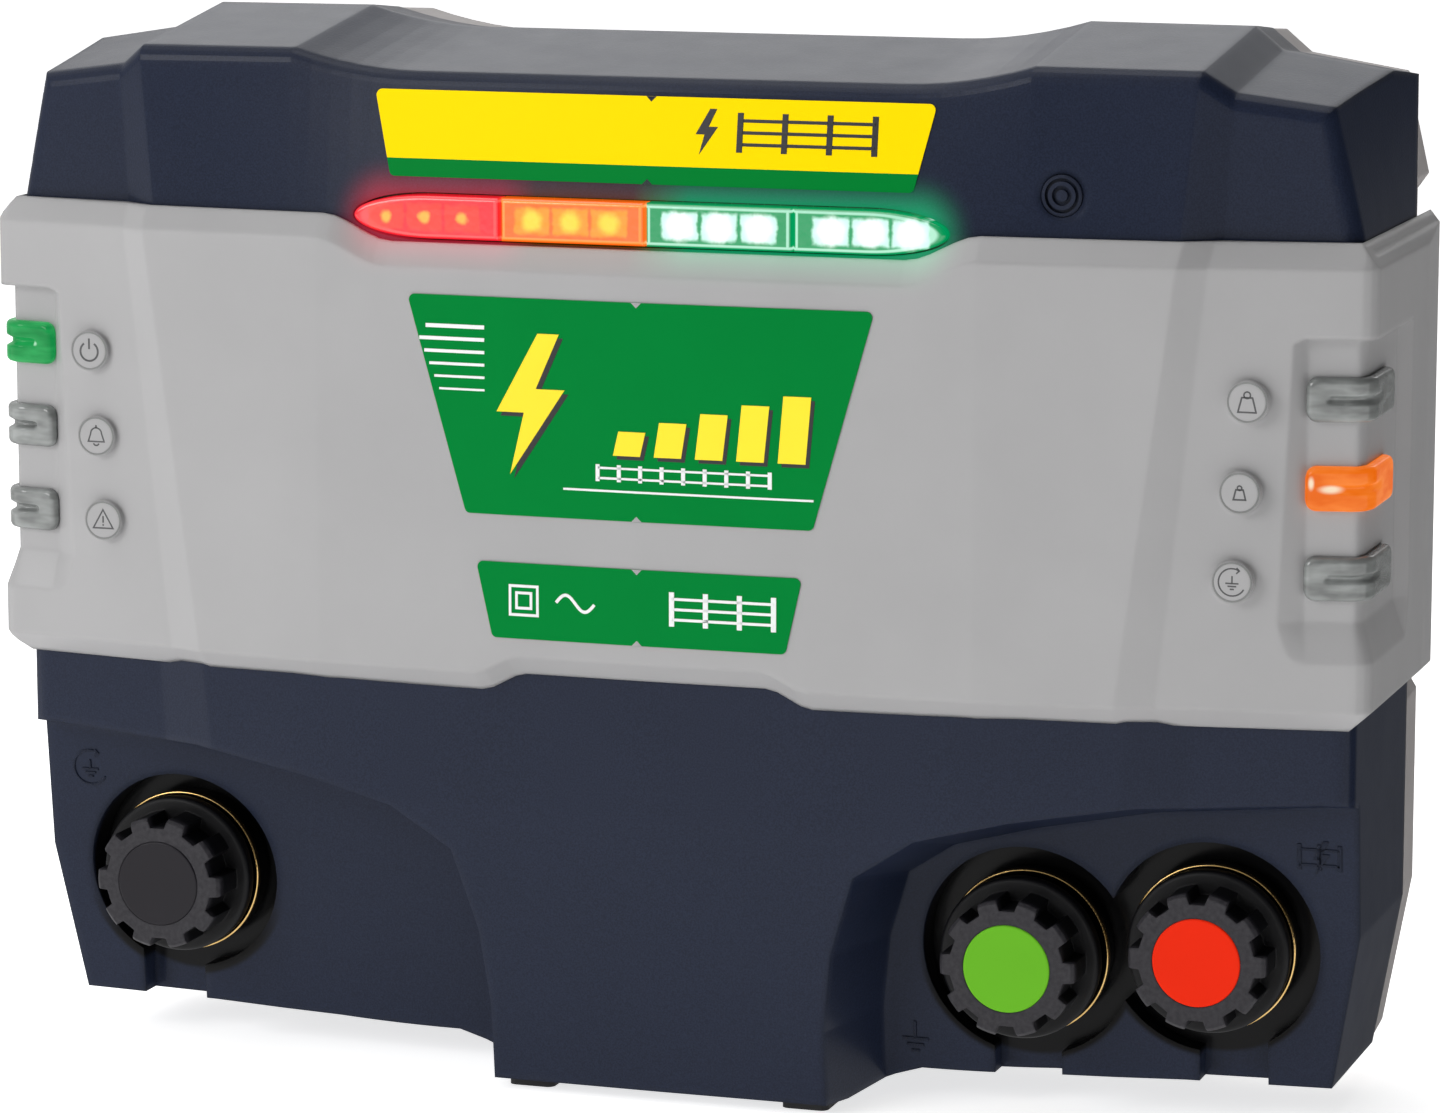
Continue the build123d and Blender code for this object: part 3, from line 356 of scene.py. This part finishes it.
def guide(name, color, glow=None, hot=(), core=(1.0, 1.0, 1.0)):
    """Light guide: smoked translucent plastic, lit from inside when glow is given."""
    coat, specular = (0.1, 0.15) if glow else (0.4, 0.5)
    shader = Shader(name, color, 0.2, Coat_Weight=coat, Specular_IOR_Level=specular)
    dark = tuple(0.66 * c for c in color)
    light = tuple(1.4 * c for c in color)
    streaks = shader.noise(4.5, 2, (0.45, 0.45, 1.6))
    shader.shade_color(shader.ramp(streaks, [(0.34, dark), (0.5, color), (0.68, light)]))
    if glow:
        tint = shader.ramp(streaks, [(0.35, glow), (0.75, tuple(min(1.0, 1.5 * c + 0.03) for c in glow))])
        for x, z, reach, squeeze in hot:
            spot = shader.step(shader.away_from(x * MM, z * MM, squeeze), 0.2 * reach, reach, 1, 0)
            tint = shader.blend(spot, tint, core)
        shader.link(tint, shader.bsdf.inputs["Emission Color"])
        shader.bsdf.inputs["Emission Strength"].default_value = 0.88
    shader.bump(shader.noise(3.0, 1), 0.25, 0.25)
    return shader.material


def contact_brass():
    """Brass plate, painted near-black where the knob shades it, as painted shade, and plain brass at its rim.
    """
    shader = Shader("brass", (0.75, 0.50, 0.19), 0.25, Metallic=1.0)
    # painted shade: the plate is painted near-black inside its rim, where the knob casts shade
    bright = shader.step(shader.from_terminals(), 20.4, 20.6)
    shade = shader.ramp(shader.noise(6, 3), [(0.3, (0.62, 0.40, 0.14)), (0.7, (0.85, 0.58, 0.24))])
    shader.shade_color(shader.blend(bright, (0.012, 0.009, 0.006), shade))
    shader.bump(shader.noise(0.6, 3), 0.3, 0.05)
    return shader.material


def board_green():
    """Circuit board with faint tracks under the solder resist."""
    shader = Shader("circuit_board", (0.01, 0.09, 0.03), 0.3)
    tracks = shader.add("ShaderNodeTexBrick")
    tracks.inputs["Scale"].default_value = 120
    tracks.inputs["Color1"].default_value = (0.012, 0.11, 0.035, 1)
    tracks.inputs["Color2"].default_value = (0.008, 0.075, 0.025, 1)
    tracks.inputs["Mortar"].default_value = (0.03, 0.17, 0.06, 1)
    shader.link(shader.position, tracks.inputs["Vector"])
    shader.shade_color(tracks.outputs["Color"])
    shader.bump(tracks.outputs["Fac"], 0.2, 0.05)
    return shader.material


def winding():
    """Enamelled copper wire, wound in even turns."""
    shader = Shader("copper_winding", (0.55, 0.2, 0.08), 0.3, Metallic=0.8)
    waves = shader.add("ShaderNodeTexWave", bands_direction="Z")
    waves.inputs["Scale"].default_value = 260
    shader.link(shader.position, waves.inputs["Vector"])
    stops = [(0.0, (0.2, 0.06, 0.03)), (0.7, (0.62, 0.24, 0.1))]
    shader.shade_color(shader.ramp(waves.outputs["Fac"], stops))
    shader.bump(waves.outputs["Fac"], 0.6, 0.2)
    return shader.material


def laminations():
    """Varnished stack of thin steel sheets."""
    shader = Shader("core_steel", (0.1, 0.1, 0.11), 0.45, Metallic=0.6)
    waves = shader.add("ShaderNodeTexWave", bands_direction="Y")
    waves.inputs["Scale"].default_value = 300
    shader.link(shader.position, waves.inputs["Vector"])
    stops = [(0.0, (0.03, 0.03, 0.035)), (0.6, (0.14, 0.14, 0.15))]
    shader.shade_color(shader.ramp(waves.outputs["Fac"], stops))
    shader.bump(waves.outputs["Fac"], 0.4, 0.1)
    return shader.material


def knob_plastic(name):
    """Black plastic of a knob: its front is matt black, and the flutes and flange behind it are painted
    near-black, as painted shade.
    """
    low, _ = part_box(name)
    shader = Shader(f"{name}_plastic", (0.026, 0.025, 0.029), 0.45, Specular_IOR_Level=0.22)
    shader.soften(0.7)
    face = shader.ramp(shader.noise(1.2, 2), [(0.3, (0.020, 0.019, 0.023)), (0.7, (0.036, 0.034, 0.039))])
    # painted shade: the knob darkens to near-black from just behind its front face
    behind = shader.step(shader.math("SUBTRACT", shader.axis("Y"), low[1]), 1.0, 3.6)
    shader.shade_color(shader.blend(behind, face, (0.0035, 0.0034, 0.0042)))
    shader.vary_roughness(0.42, 0.55, 6)
    shader.bump(shader.noise(0.6, 2), 0.5, 0.1)
    return shader.material


MATERIALS = {
    "navy_plastic": navy_moulding(),
    "light_grey_plastic": moulded("light_grey_plastic", REAR_GREY, 0.5, 0.62, 0.8, 0.22, 2.0),
    "grey_plastic": band_moulding(),
    "rubber": moulded("rubber", (0.02, 0.02, 0.021), 0.7, 0.85, 0.5, 0.1, 0.6),
    "yellow_film": hood_label_film(),
    "green_film": printed_film("green_film", PRINT_GREEN).material,
    "red_lens": lens(
        "red_lens", (0.80, 0.010, 0.022), (1.0, 0.10, 0.10), (0.95, 0.07, 0.02), (1.0, 0.50, 0.05), 0.55, 2.0
    ),
    "amber_lens": lens(
        "amber_lens", (0.94, 0.13, 0.004), (1.0, 0.34, 0.05), (1.0, 0.33, 0.005), (1.0, 0.72, 0.04), 0.9, 3.6
    ),
    "green_lens": lens(
        "green_lens", (0.0, 0.27, 0.085), (0.55, 0.92, 0.74), (0.66, 0.98, 0.88), (1.25, 1.25, 1.25), 1.0, 4.6
    ),
    "lit_green_guide": guide(
        "lit_green_guide", (0.0, 0.05, 0.012), (0.0, 0.25, 0.05),
        [(-167.4, 185.0, 0.8, 0.8)], (0.5, 0.85, 0.6)
    ),
    "lit_orange_guide": guide(
        "lit_orange_guide", (0.06, 0.01, 0.0), (0.90, 0.155, 0.004),
        [(163.9, 165.2, 2.2, 2.2), (168.4, 163.8, 1.4, 0.38)], (1.05, 0.86, 0.62)
    ),
    "clear_guide": guide("clear_guide", (0.19, 0.20, 0.195)),
    "circuit_board": board_green(),
    "led_body": moulded("led_body", (0.8, 0.8, 0.72), 0.2, 0.3, 1.0, 0.02, 0.3),
    "black_plastic": moulded(
        "black_plastic", (0.021, 0.020, 0.025), 0.42, 0.55, 0.6, 0.10, 0.8, 0.2, Specular_IOR_Level=0.22
    ),
    "brass": contact_brass(),
    "bright_steel": metal("bright_steel", (0.62, 0.62, 0.6), 0.25, 0.4),
    "red_cap": moulded(
        "red_cap", (0.80, 0.022, 0.003), 0.3, 0.38, 0.8, 0.03, 0.5, 0.04, Specular_IOR_Level=0.06
    ),
    "green_cap": moulded(
        "green_cap", (0.135, 0.45, 0.020), 0.3, 0.38, 0.8, 0.03, 0.5, 0.04, Specular_IOR_Level=0.06
    ),
    "black_cap": moulded(
        "black_cap", (0.011, 0.0095, 0.013), 0.32, 0.42, 0.8, 0.03, 0.5, 0.1, Specular_IOR_Level=0.2
    ),
    "capacitor_can": metal("capacitor_can", (0.7, 0.7, 0.7), 0.25, 0.4, (1, 1, 0.05)),
    "aluminium": metal("aluminium", (0.7, 0.7, 0.71), 0.3, 0.45, (1, 1, 0.05)),
    "core_steel": laminations(),
    "copper_winding": winding(),
    "lead_insulation": moulded("lead_insulation", (0.4, 0.02, 0.015), 0.4, 0.55, 1.0, 0.05, 0.3),
}

for part in frame["record"]["subparts"]:
    node = NODES[part["node"]]
    finish = MATERIALS[part["material_slot"]]
    if part["node"].endswith("_knob"):
        finish = knob_plastic(part["node"])
    node.data.materials.clear()
    node.data.materials.append(finish)

# ---------------------------------------------------------------- printed and moulded symbols
PRINT_WHITE = moulded("print_white", (0.82, 0.84, 0.83), 0.3, 0.4, 4, 0.02, 0.2, 0.03)
PRINT_YELLOW = moulded("print_yellow", (1.0, 0.74, 0.0), 0.3, 0.4, 4, 0.02, 0.2, 0.03)
PRINT_BLACK = moulded("print_black", (0.006, 0.006, 0.007), 0.3, 0.4, 4, 0.02, 0.2, 0.1)
# painted shade: the engraved icon lines are painted dark grey, standing in for the shade in their grooves
ENGRAVING_SHADE = moulded("engraving_shade", (0.075, 0.075, 0.078), 0.4, 0.5, 1, 0.03, 0.2, 0.1)
# painted shade: a darker grey ring drawn at the edge of each raised disc
DISC_EDGE_SHADE = moulded("disc_edge_shade", (0.20, 0.205, 0.2), 0.4, 0.5, 1, 0.03, 0.2, 0.1)


def arc(center, radius, start, end, steps=24):
    """Points along an arc, angles in degrees."""
    points = []
    for i in range(steps + 1):
        angle = math.radians(start + (end - start) * i / steps)
        points.append((center[0] + radius * math.cos(angle), center[1] + radius * math.sin(angle)))
    return points


def stroke(points, width, closed=False):
    """Quads that follow a line, mitred at its corners."""
    count = len(points)
    sides = []
    for i in range(count):
        before = points[i - 1] if (closed or i > 0) else points[i]
        after = points[(i + 1) % count] if (closed or i < count - 1) else points[i]
        first = Vector(points[i]) - Vector(before)
        second = Vector(after) - Vector(points[i])
        first = first.normalized() if first.length else second.normalized()
        second = second.normalized() if second.length else first
        middle = (first + second).normalized() if (first + second).length > 1e-6 else first
        across = Vector((-middle.y, middle.x))
        reach = width / 2 / max(0.35, across.dot(Vector((-first.y, first.x))))
        sides.append((Vector(points[i]) + across * reach, Vector(points[i]) - across * reach))
    last = count if closed else count - 1
    return [
        [sides[i][0], sides[i][1], sides[(i + 1) % count][1], sides[(i + 1) % count][0]] for i in range(last)
    ]


def polygon(points):
    return [[Vector(p) for p in points]]


def move(shapes, x, z, scale=1.0):
    return [[Vector((p[0] * scale + x, p[1] * scale + z)) for p in shape] for shape in shapes]


def stick(name, shapes, target, material, lift_mm=0.06, thick_mm=0.06, cut_mm=5.0):
    """Lays flat shapes, in (x, z) millimetres, onto the front of a node."""
    mesh = bmesh.new()
    for shape in shapes:
        corners = [mesh.verts.new((p[0] * MM, 0, p[1] * MM)) for p in shape]
        mesh.faces.new(corners)
    mesh.normal_update()
    bmesh.ops.triangulate(mesh, faces=mesh.faces[:])
    low = min(v.co.x for v in mesh.verts)
    high = max(v.co.x for v in mesh.verts)
    place = math.ceil(low / (cut_mm * MM)) * cut_mm * MM
    while place < high:
        geometry = mesh.verts[:] + mesh.edges[:] + mesh.faces[:]
        bmesh.ops.bisect_plane(mesh, geom=geometry, plane_co=(place, 0, 0), plane_no=(1, 0, 0))
        place += cut_mm * MM
    source = NODES[target]
    points = [vertex.co for vertex in source.data.vertices]
    tree = BVHTree.FromPolygons(points, [face.vertices for face in source.data.polygons])
    for vertex in mesh.verts:
        hit = tree.ray_cast(Vector((vertex.co.x, -0.2, vertex.co.z)), Vector((0, 1, 0)))[0]
        vertex.co.y = hit.y - lift_mm * MM if hit else 0
    for face in mesh.faces:
        if face.normal.y > 0:
            face.normal_flip()
    data = bpy.data.meshes.new(name)
    mesh.to_mesh(data)
    mesh.free()
    piece = bpy.data.objects.new(name, data)
    bpy.context.collection.objects.link(piece)
    data.materials.append(material)
    solid = piece.modifiers.new("thickness", "SOLIDIFY")
    solid.thickness = thick_mm * MM
    solid.offset = -1
    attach(piece, frame_body(target))
    return piece


def frame_body(node_name):
    for body, names in frame["record"]["behaviour"]["bodies"].items():
        if node_name in names:
            return body
    return "case"


BOLT = [(1.2, 10), (-5.0, -1.2), (-0.9, -1.2), (-3.0, -10), (5.2, 2.2), (0.9, 2.2), (4.4, 10)]


def icon_power():
    return stroke(arc((0, -0.2), 2.4, 125, 415), 0.5) + stroke([(0, 0.4), (0, 3.1)], 0.5)


def icon_bell():
    dome = [(-2.2, -1.4)] + arc((0, 0.6), 1.5, 180, 0, 12) + [(2.2, -1.4)]
    clapper = stroke(arc((0, -1.6), 0.8, 200, 340, 8), 0.36)
    return stroke(dome, 0.36, True) + clapper + stroke([(0, 2.1), (0, 2.8)], 0.4)


def icon_warning():
    outline = [(-2.7, -2.0), (2.7, -2.0), (0, 2.7)]
    mark = stroke([(0, 1.1), (0, -0.6)], 0.4) + stroke([(0, -1.0), (0, -1.4)], 0.4)
    return stroke(outline, 0.38, True) + mark


def icon_weight(size):
    body = [(-2.2, -2.4), (2.2, -2.4), (1.3, 1.1), (-1.3, 1.1)]
    body = [(x * size, z * size) for x, z in body]
    return stroke(body, 0.4, True) + stroke(arc((0, 1.7 * size), 0.8 * size, 0, 360, 14), 0.36)


def icon_earth():
    bars = stroke([(-1.6, -0.3), (1.6, -0.3)], 0.36) + stroke([(-1.05, -1.0), (1.05, -1.0)], 0.36)
    bars += stroke([(-0.5, -1.7), (0.5, -1.7)], 0.36) + stroke([(0, -0.3), (0, 1.5)], 0.36)
    arrow = stroke([(1.1, 3.5), (1.75, 2.8), (1.0, 2.1)], 0.36)
    return bars + stroke(arc((0, 0), 3.3, 60, 330), 0.36) + arrow


DISCS = [
    ("power", -149.4, 184.7, icon_power()),
    ("alarm", -147.9, 163.0, icon_bell()),
    ("warning", -146.4, 141.5, icon_warning()),
    ("high_power", 149.4, 184.7, icon_weight(1.0)),
    ("low_power", 147.9, 163.0, icon_weight(0.68)),
    ("earth_level", 146.4, 141.5, icon_earth()),
]
DISC_RIM_R = 4.65
for disc_name, x, z, shapes in DISCS:
    stick(f"{disc_name}_symbol", move(shapes, x, z), "fascia_band", ENGRAVING_SHADE, 0.04, 0.05)
    # painted shade: a darker ring round each disc's raised edge
    rim = stroke(arc((x, z), DISC_RIM_R, 0, 360, 40)[:-1], 0.42, True)
    stick(f"{disc_name}_disc_rim_shade", rim, "fascia_band", DISC_EDGE_SHADE, 0.04, 0.05)


GUIDE_DEEP = 2.4
GUIDE_ROUND = 1.5
GUIDE_CORNER = 2.8
GUIDE_TURN = 6.8  # radius where the guide goes round the corner
GUIDE_LEAN = 1.86  # how far its front face falls back before the turn
GUIDE_SEAT = 0.05  # clearance of its back from the outer surface
GUIDE_THIN = 0.15  # least height left under the groove
NOTCH_START = 5.2


def smooth(value, low, high):
    t = min(1.0, max(0.0, (value - low) / (high - low)))
    return t * t * (3 - 2 * t)


def corner_path(node, steps_front=22, steps_turn=16, steps_side=34):
    """Points and inward normals round the corner, along the outer face of a guide."""
    low, high = [[c / MM for c in corner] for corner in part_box(node)]
    side = 1 if high[0] > 0 else -1
    near, far = sorted((abs(low[0]), abs(high[0])))
    start = Vector((near, low[1]))
    bend = Vector((far - GUIDE_TURN, low[1] + GUIDE_LEAN))
    turn_y = bend.y + GUIDE_TURN
    face = (bend - start).normalized()
    spots = []
    for i in range(steps_front):
        spots.append((start.lerp(bend, i / steps_front), Vector((-face.y, face.x))))
    for i in range(steps_turn):
        angle = math.pi / 2 * i / steps_turn
        out = Vector((math.sin(angle), -math.cos(angle)))
        spots.append((Vector((far - GUIDE_TURN, turn_y)) + out * GUIDE_TURN, -out))
    for i in range(steps_side + 1):
        spots.append((Vector((far, turn_y + (high[1] - turn_y) * i / steps_side)), Vector((-1, 0))))
    return [((side * p.x, p.y), (side * n.x, n.y)) for p, n in spots], low[2], high[2]


def guide_height(along, up, length, half_tall, open_ended):
    """Height of a guide's face: rounded rim, and a groove that is open or fades before the corner."""
    dx = abs(along - length / 2) - (length / 2 - GUIDE_CORNER)
    dz = abs(up) - (half_tall - GUIDE_CORNER)
    inside = GUIDE_CORNER - math.hypot(max(dx, 0), max(dz, 0)) - min(max(dx, dz), 0)
    t = min(1.0, max(0.0, inside / GUIDE_ROUND))
    height = GUIDE_DEEP - GUIDE_ROUND * (1 - math.sqrt(max(0.0, 1 - (1 - t) ** 2)))
    widening = 0.6 if open_ended else 0.25
    half_notch = 0.65 + widening * smooth(along, NOTCH_START, 0.6 * length)
    wall = smooth(abs(up - 0.2), half_notch - 0.55, half_notch + 0.55)
    opened = smooth(along, NOTCH_START - 0.6, NOTCH_START + 1.2)
    if open_ended:
        return max(GUIDE_THIN, height - 1.5 * opened * (1 - wall))
    faded = opened * (1 - smooth(along, 0.42 * length, 0.66 * length))
    return max(GUIDE_THIN, height - 0.95 * faded * (1 - wall))


def light_guide(name, node, material):
    """A moulded light guide that wraps round the corner of the band."""
    path, low_z, high_z = corner_path(node)
    middle = (low_z + high_z) / 2
    half = (high_z - low_z) / 2
    reach = [0.0]
    for (first, _), (second, _) in zip(path, path[1:]):
        reach.append(reach[-1] + math.dist(first, second))
    rows = 34
    open_ended = path[0][0][0] < 0
    mesh = bmesh.new()
    top, bottom = [], []
    for (spot, inward), along in zip(path, reach):
        for layer, grid in ((1, top), (0, bottom)):
            line = []
            for j in range(rows + 1):
                slack = max(0.0, GUIDE_CORNER - min(along, reach[-1] - along))
                fall = GUIDE_CORNER - math.sqrt(max(0.0, GUIDE_CORNER**2 - slack**2))
                up = (half - fall) * (2 * j / rows - 1)
                height = guide_height(along, up, reach[-1], half, open_ended) if layer else 0.0
                sink = (GUIDE_DEEP + GUIDE_SEAT - height) * MM
                line.append(mesh.verts.new((
                    spot[0] * MM + inward[0] * sink, spot[1] * MM + inward[1] * sink, (middle + up) * MM,
                )))
            grid.append(line)
    last = len(path) - 1
    for i in range(last):
        for j in range(rows):
            mesh.faces.new((top[i][j], top[i + 1][j], top[i + 1][j + 1], top[i][j + 1]))
            mesh.faces.new((bottom[i][j + 1], bottom[i + 1][j + 1], bottom[i + 1][j], bottom[i][j]))
        mesh.faces.new((top[i][0], bottom[i][0], bottom[i + 1][0], top[i + 1][0]))
        mesh.faces.new((top[i + 1][rows], bottom[i + 1][rows], bottom[i][rows], top[i][rows]))
    for j in range(rows):
        mesh.faces.new((top[0][j + 1], bottom[0][j + 1], bottom[0][j], top[0][j]))
        mesh.faces.new((top[last][j], bottom[last][j], bottom[last][j + 1], top[last][j + 1]))
    bmesh.ops.recalc_face_normals(mesh, faces=mesh.faces[:])
    data = bpy.data.meshes.new(name)
    mesh.to_mesh(data)
    mesh.free()
    data.polygons.foreach_set("use_smooth", [True] * len(data.polygons))
    data.materials.append(material)
    piece = bpy.data.objects.new(name, data)
    bpy.context.collection.objects.link(piece)
    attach(piece, frame_body(node))
    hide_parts(node)


for part in frame["record"]["subparts"]:
    if part["node"].endswith("_light_guide"):
        slot_name = part["material_slot"]
        light_guide(f"{part['node']}_moulding", part["node"], MATERIALS[slot_name])


def fence_sign(width, height, wires, posts, line):
    """A generic pictogram: wires on posts."""
    shapes = []
    for i in range(wires):
        z = height * (0.2 + 0.6 * i / (wires - 1)) - height / 2
        shapes += stroke([(-width / 2, z), (width / 2, z)], line)
    for i in range(posts):
        x = width * (i / (posts - 1) - 0.5)
        shapes += stroke([(x, -height / 2), (x, height / 2)], line * 1.9)
    return shapes


stick("hood_print", move(fence_sign(34, 9.5, 3, 4, 0.8), 40, 244.6) + move(polygon(BOLT), 14.5, 244.6, 0.55),
      "hood_label", PRINT_BLACK)

wire_lines = []
for i in range(6):
    start_x = -58.0 + 1.3 * i
    wire_lines += stroke([(start_x, 196.0 - 3.1 * i), (-39.5, 196.0 - 3.1 * i)], 1.0 - 0.09 * i)
stick("model_wires", wire_lines, "model_label", PRINT_WHITE)
level_bars = []
for i in range(5):
    x = -6 + 10.5 * i
    level_bars += polygon([(x, 166), (x + 7, 166), (x + 8.4, 172 + 2.6 * i), (x + 1.4, 172 + 2.6 * i)])
stick("model_shadow", move(polygon(BOLT), -26.6, 176.6, 1.75) + move(level_bars, 0.9, -0.9),
      "model_label", PRINT_BLACK, 0.05, 0.05)
stick("model_bolt", move(polygon(BOLT), -27.6, 177.6, 1.75) + level_bars,
      "model_label", PRINT_YELLOW, 0.13, 0.05)
caption_row = move(fence_sign(44, 4.2, 2, 9, 0.55), 12, 161.6)
stick("model_underline", stroke([(-19, 157.2), (47.0, 157.2)], 0.55) + caption_row,
      "model_label", PRINT_WHITE)


NOTCH_HALF = 1.3


def label_notch(name, node, at_top, material):
    """The small notch at the middle of a label's edge."""
    low, high = [[c / MM for c in corner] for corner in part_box(node)]
    edge, tip = (high[2], -NOTCH_HALF) if at_top else (low[2], NOTCH_HALF)
    outline = [(-NOTCH_HALF, edge), (NOTCH_HALF, edge), (0, edge + tip)]
    stick(name, polygon(outline), node, material, 0.04, 0.04)


for node, notch_material, slot_name in (
    ("hood_label", "navy_plastic", "yellow_film"),
    ("model_label", "grey_plastic", "green_film"),
    ("rating_label", "grey_plastic", "green_film"),
):
    label_notch(f"{node}_top_notch", node, True, MATERIALS[notch_material])
    label_notch(f"{node}_foot_notch", node, False, MATERIALS[notch_material])

double_square = stroke([(-3.6, -3.6), (3.6, -3.6), (3.6, 3.6), (-3.6, 3.6)], 0.7, True)
double_square += stroke([(-1.9, -1.9), (1.9, -1.9), (1.9, 1.9), (-1.9, 1.9)], 0.7, True)
sine = [(-5 + 0.5 * i, 2.0 * math.sin(math.pi * i / 10)) for i in range(21)]
rating_print = move(double_square, -29.5, 128.8) + move(stroke(sine, 0.8), -16, 128.8)
rating_print += move(fence_sign(26, 8.5, 3, 4, 0.7), 22, 128.8)
stick("rating_print", rating_print, "rating_label", PRINT_WHITE)

ground_mark = stroke([(-3.4, 0), (3.4, 0)], 0.7) + stroke([(-2.2, -1.6), (2.2, -1.6)], 0.7)
ground_mark += stroke([(-1.1, -3.2), (1.1, -3.2)], 0.7) + stroke([(0, 0), (0, 4.6)], 0.7)
fence_mark = move(polygon(BOLT), 164.2, 71.0, 0.42) + move(fence_sign(10, 6.5, 2, 3, 0.55), 163.8, 71.0)
for relief, shapes in (
    ("ground_relief", move(ground_mark, 60.4, 16.2)),
    ("fence_relief", fence_mark),
    ("earth_test_relief", move(icon_earth(), -161.8, 72.2, 1.4)),
):
    stick(relief, shapes, "front_housing", MATERIALS["navy_plastic"], 0.35, 0.4)

# ---------------------------------------------------------------- stage, light, camera
CAMERA_AT = Vector((0.4460, -1.32725, 0.3679))
CAMERA_TO = Vector((0.0003, 0.01175, 0.1310))
LENS_MM = 139.8
FLOOR_REACH = 6.0


def floor():
    """White paper under and behind the unit, in two halves: glossy plastic mirrors only the front one."""
    shader = Shader("floor_paint", (0.92, 0.92, 0.92), 0.7, Specular_IOR_Level=0.0)
    shader.mottle(0.01, 400)
    shader.bsdf.inputs["Emission Color"].default_value = (1, 1, 1, 1)
    shader.bsdf.inputs["Emission Strength"].default_value = 0.72
    reach = FLOOR_REACH
    for name, low, high in (("floor_front", -reach, 0.0), ("floor_rear", 0.0, reach)):
        mesh = bpy.data.meshes.new(name)
        corners = [(-reach, low, 0), (reach, low, 0), (reach, high, 0), (-reach, high, 0)]
        mesh.from_pydata(corners, [], [(0, 1, 2, 3)])
        mesh.materials.append(shader.material)
        sheet = bpy.data.objects.new(name, mesh)
        sheet.visible_glossy = name == "floor_front"
        bpy.context.collection.objects.link(sheet)


def area_light(name, place, target, size, power, color=(1, 1, 1)):
    data = bpy.data.lights.new(name, "AREA")
    data.shape = "RECTANGLE"
    data.size, data.size_y = size
    data.energy = power
    data.color = color
    lamp = bpy.data.objects.new(name, data)
    lamp.location = place
    lamp.rotation_euler = (Vector(target) - Vector(place)).to_track_quat("-Z", "Y").to_euler()
    bpy.context.collection.objects.link(lamp)


def studio():
    """World bright from the left and above, dark from the right; key at the front left, top and rim lamps."""
    world = bpy.data.worlds.new("studio")
    world.use_nodes = True
    tree = world.node_tree
    coordinates = tree.nodes.new("ShaderNodeTexCoord")
    split = tree.nodes.new("ShaderNodeSeparateXYZ")
    tree.links.new(coordinates.outputs["Generated"], split.inputs[0])
    levels = []
    for axis, low, high, first, last in (("X", -0.7, 0.7, 0.95, 0.04), ("Z", 0.0, 0.75, 0.5, 0.95)):
        level = tree.nodes.new("ShaderNodeMapRange")
        level.interpolation_type = "SMOOTHSTEP"
        for socket, value in zip(level.inputs[1:5], (low, high, first, last)):
            socket.default_value = value
        tree.links.new(split.outputs[axis], level.inputs[0])
        levels.append(level)
    product = tree.nodes.new("ShaderNodeMath")
    product.operation = "MULTIPLY"
    tree.links.new(levels[0].outputs[0], product.inputs[0])
    tree.links.new(levels[1].outputs[0], product.inputs[1])
    backdrop = tree.nodes["Background"]
    backdrop.inputs[0].default_value = (1, 1, 1, 1)
    tree.links.new(product.outputs[0], backdrop.inputs[1])
    bpy.context.scene.world = world
    bpy.context.scene.view_settings.view_transform = "Standard"
    middle = (0, 0, 0.14)
    area_light("key", (-1.1, -1.5, 0.95), middle, (1.0, 0.8), 13.4)
    area_light("top", (-0.1, 0.1, 1.5), middle, (1.6, 0.8), 8)
    area_light("rim", (-0.35, 1.9, 0.95), (0, 0, 0.25), (1.8, 0.5), 3.5)


def camera():
    data = bpy.data.cameras.new("camera")
    data.lens = LENS_MM
    data.sensor_width = 36
    data.clip_start = 0.01
    view = bpy.data.objects.new("camera", data)
    view.location = CAMERA_AT
    view.rotation_euler = (CAMERA_TO - CAMERA_AT).to_track_quat("-Z", "Y").to_euler()
    bpy.context.collection.objects.link(view)
    bpy.context.scene.camera = view


floor()
studio()
camera()
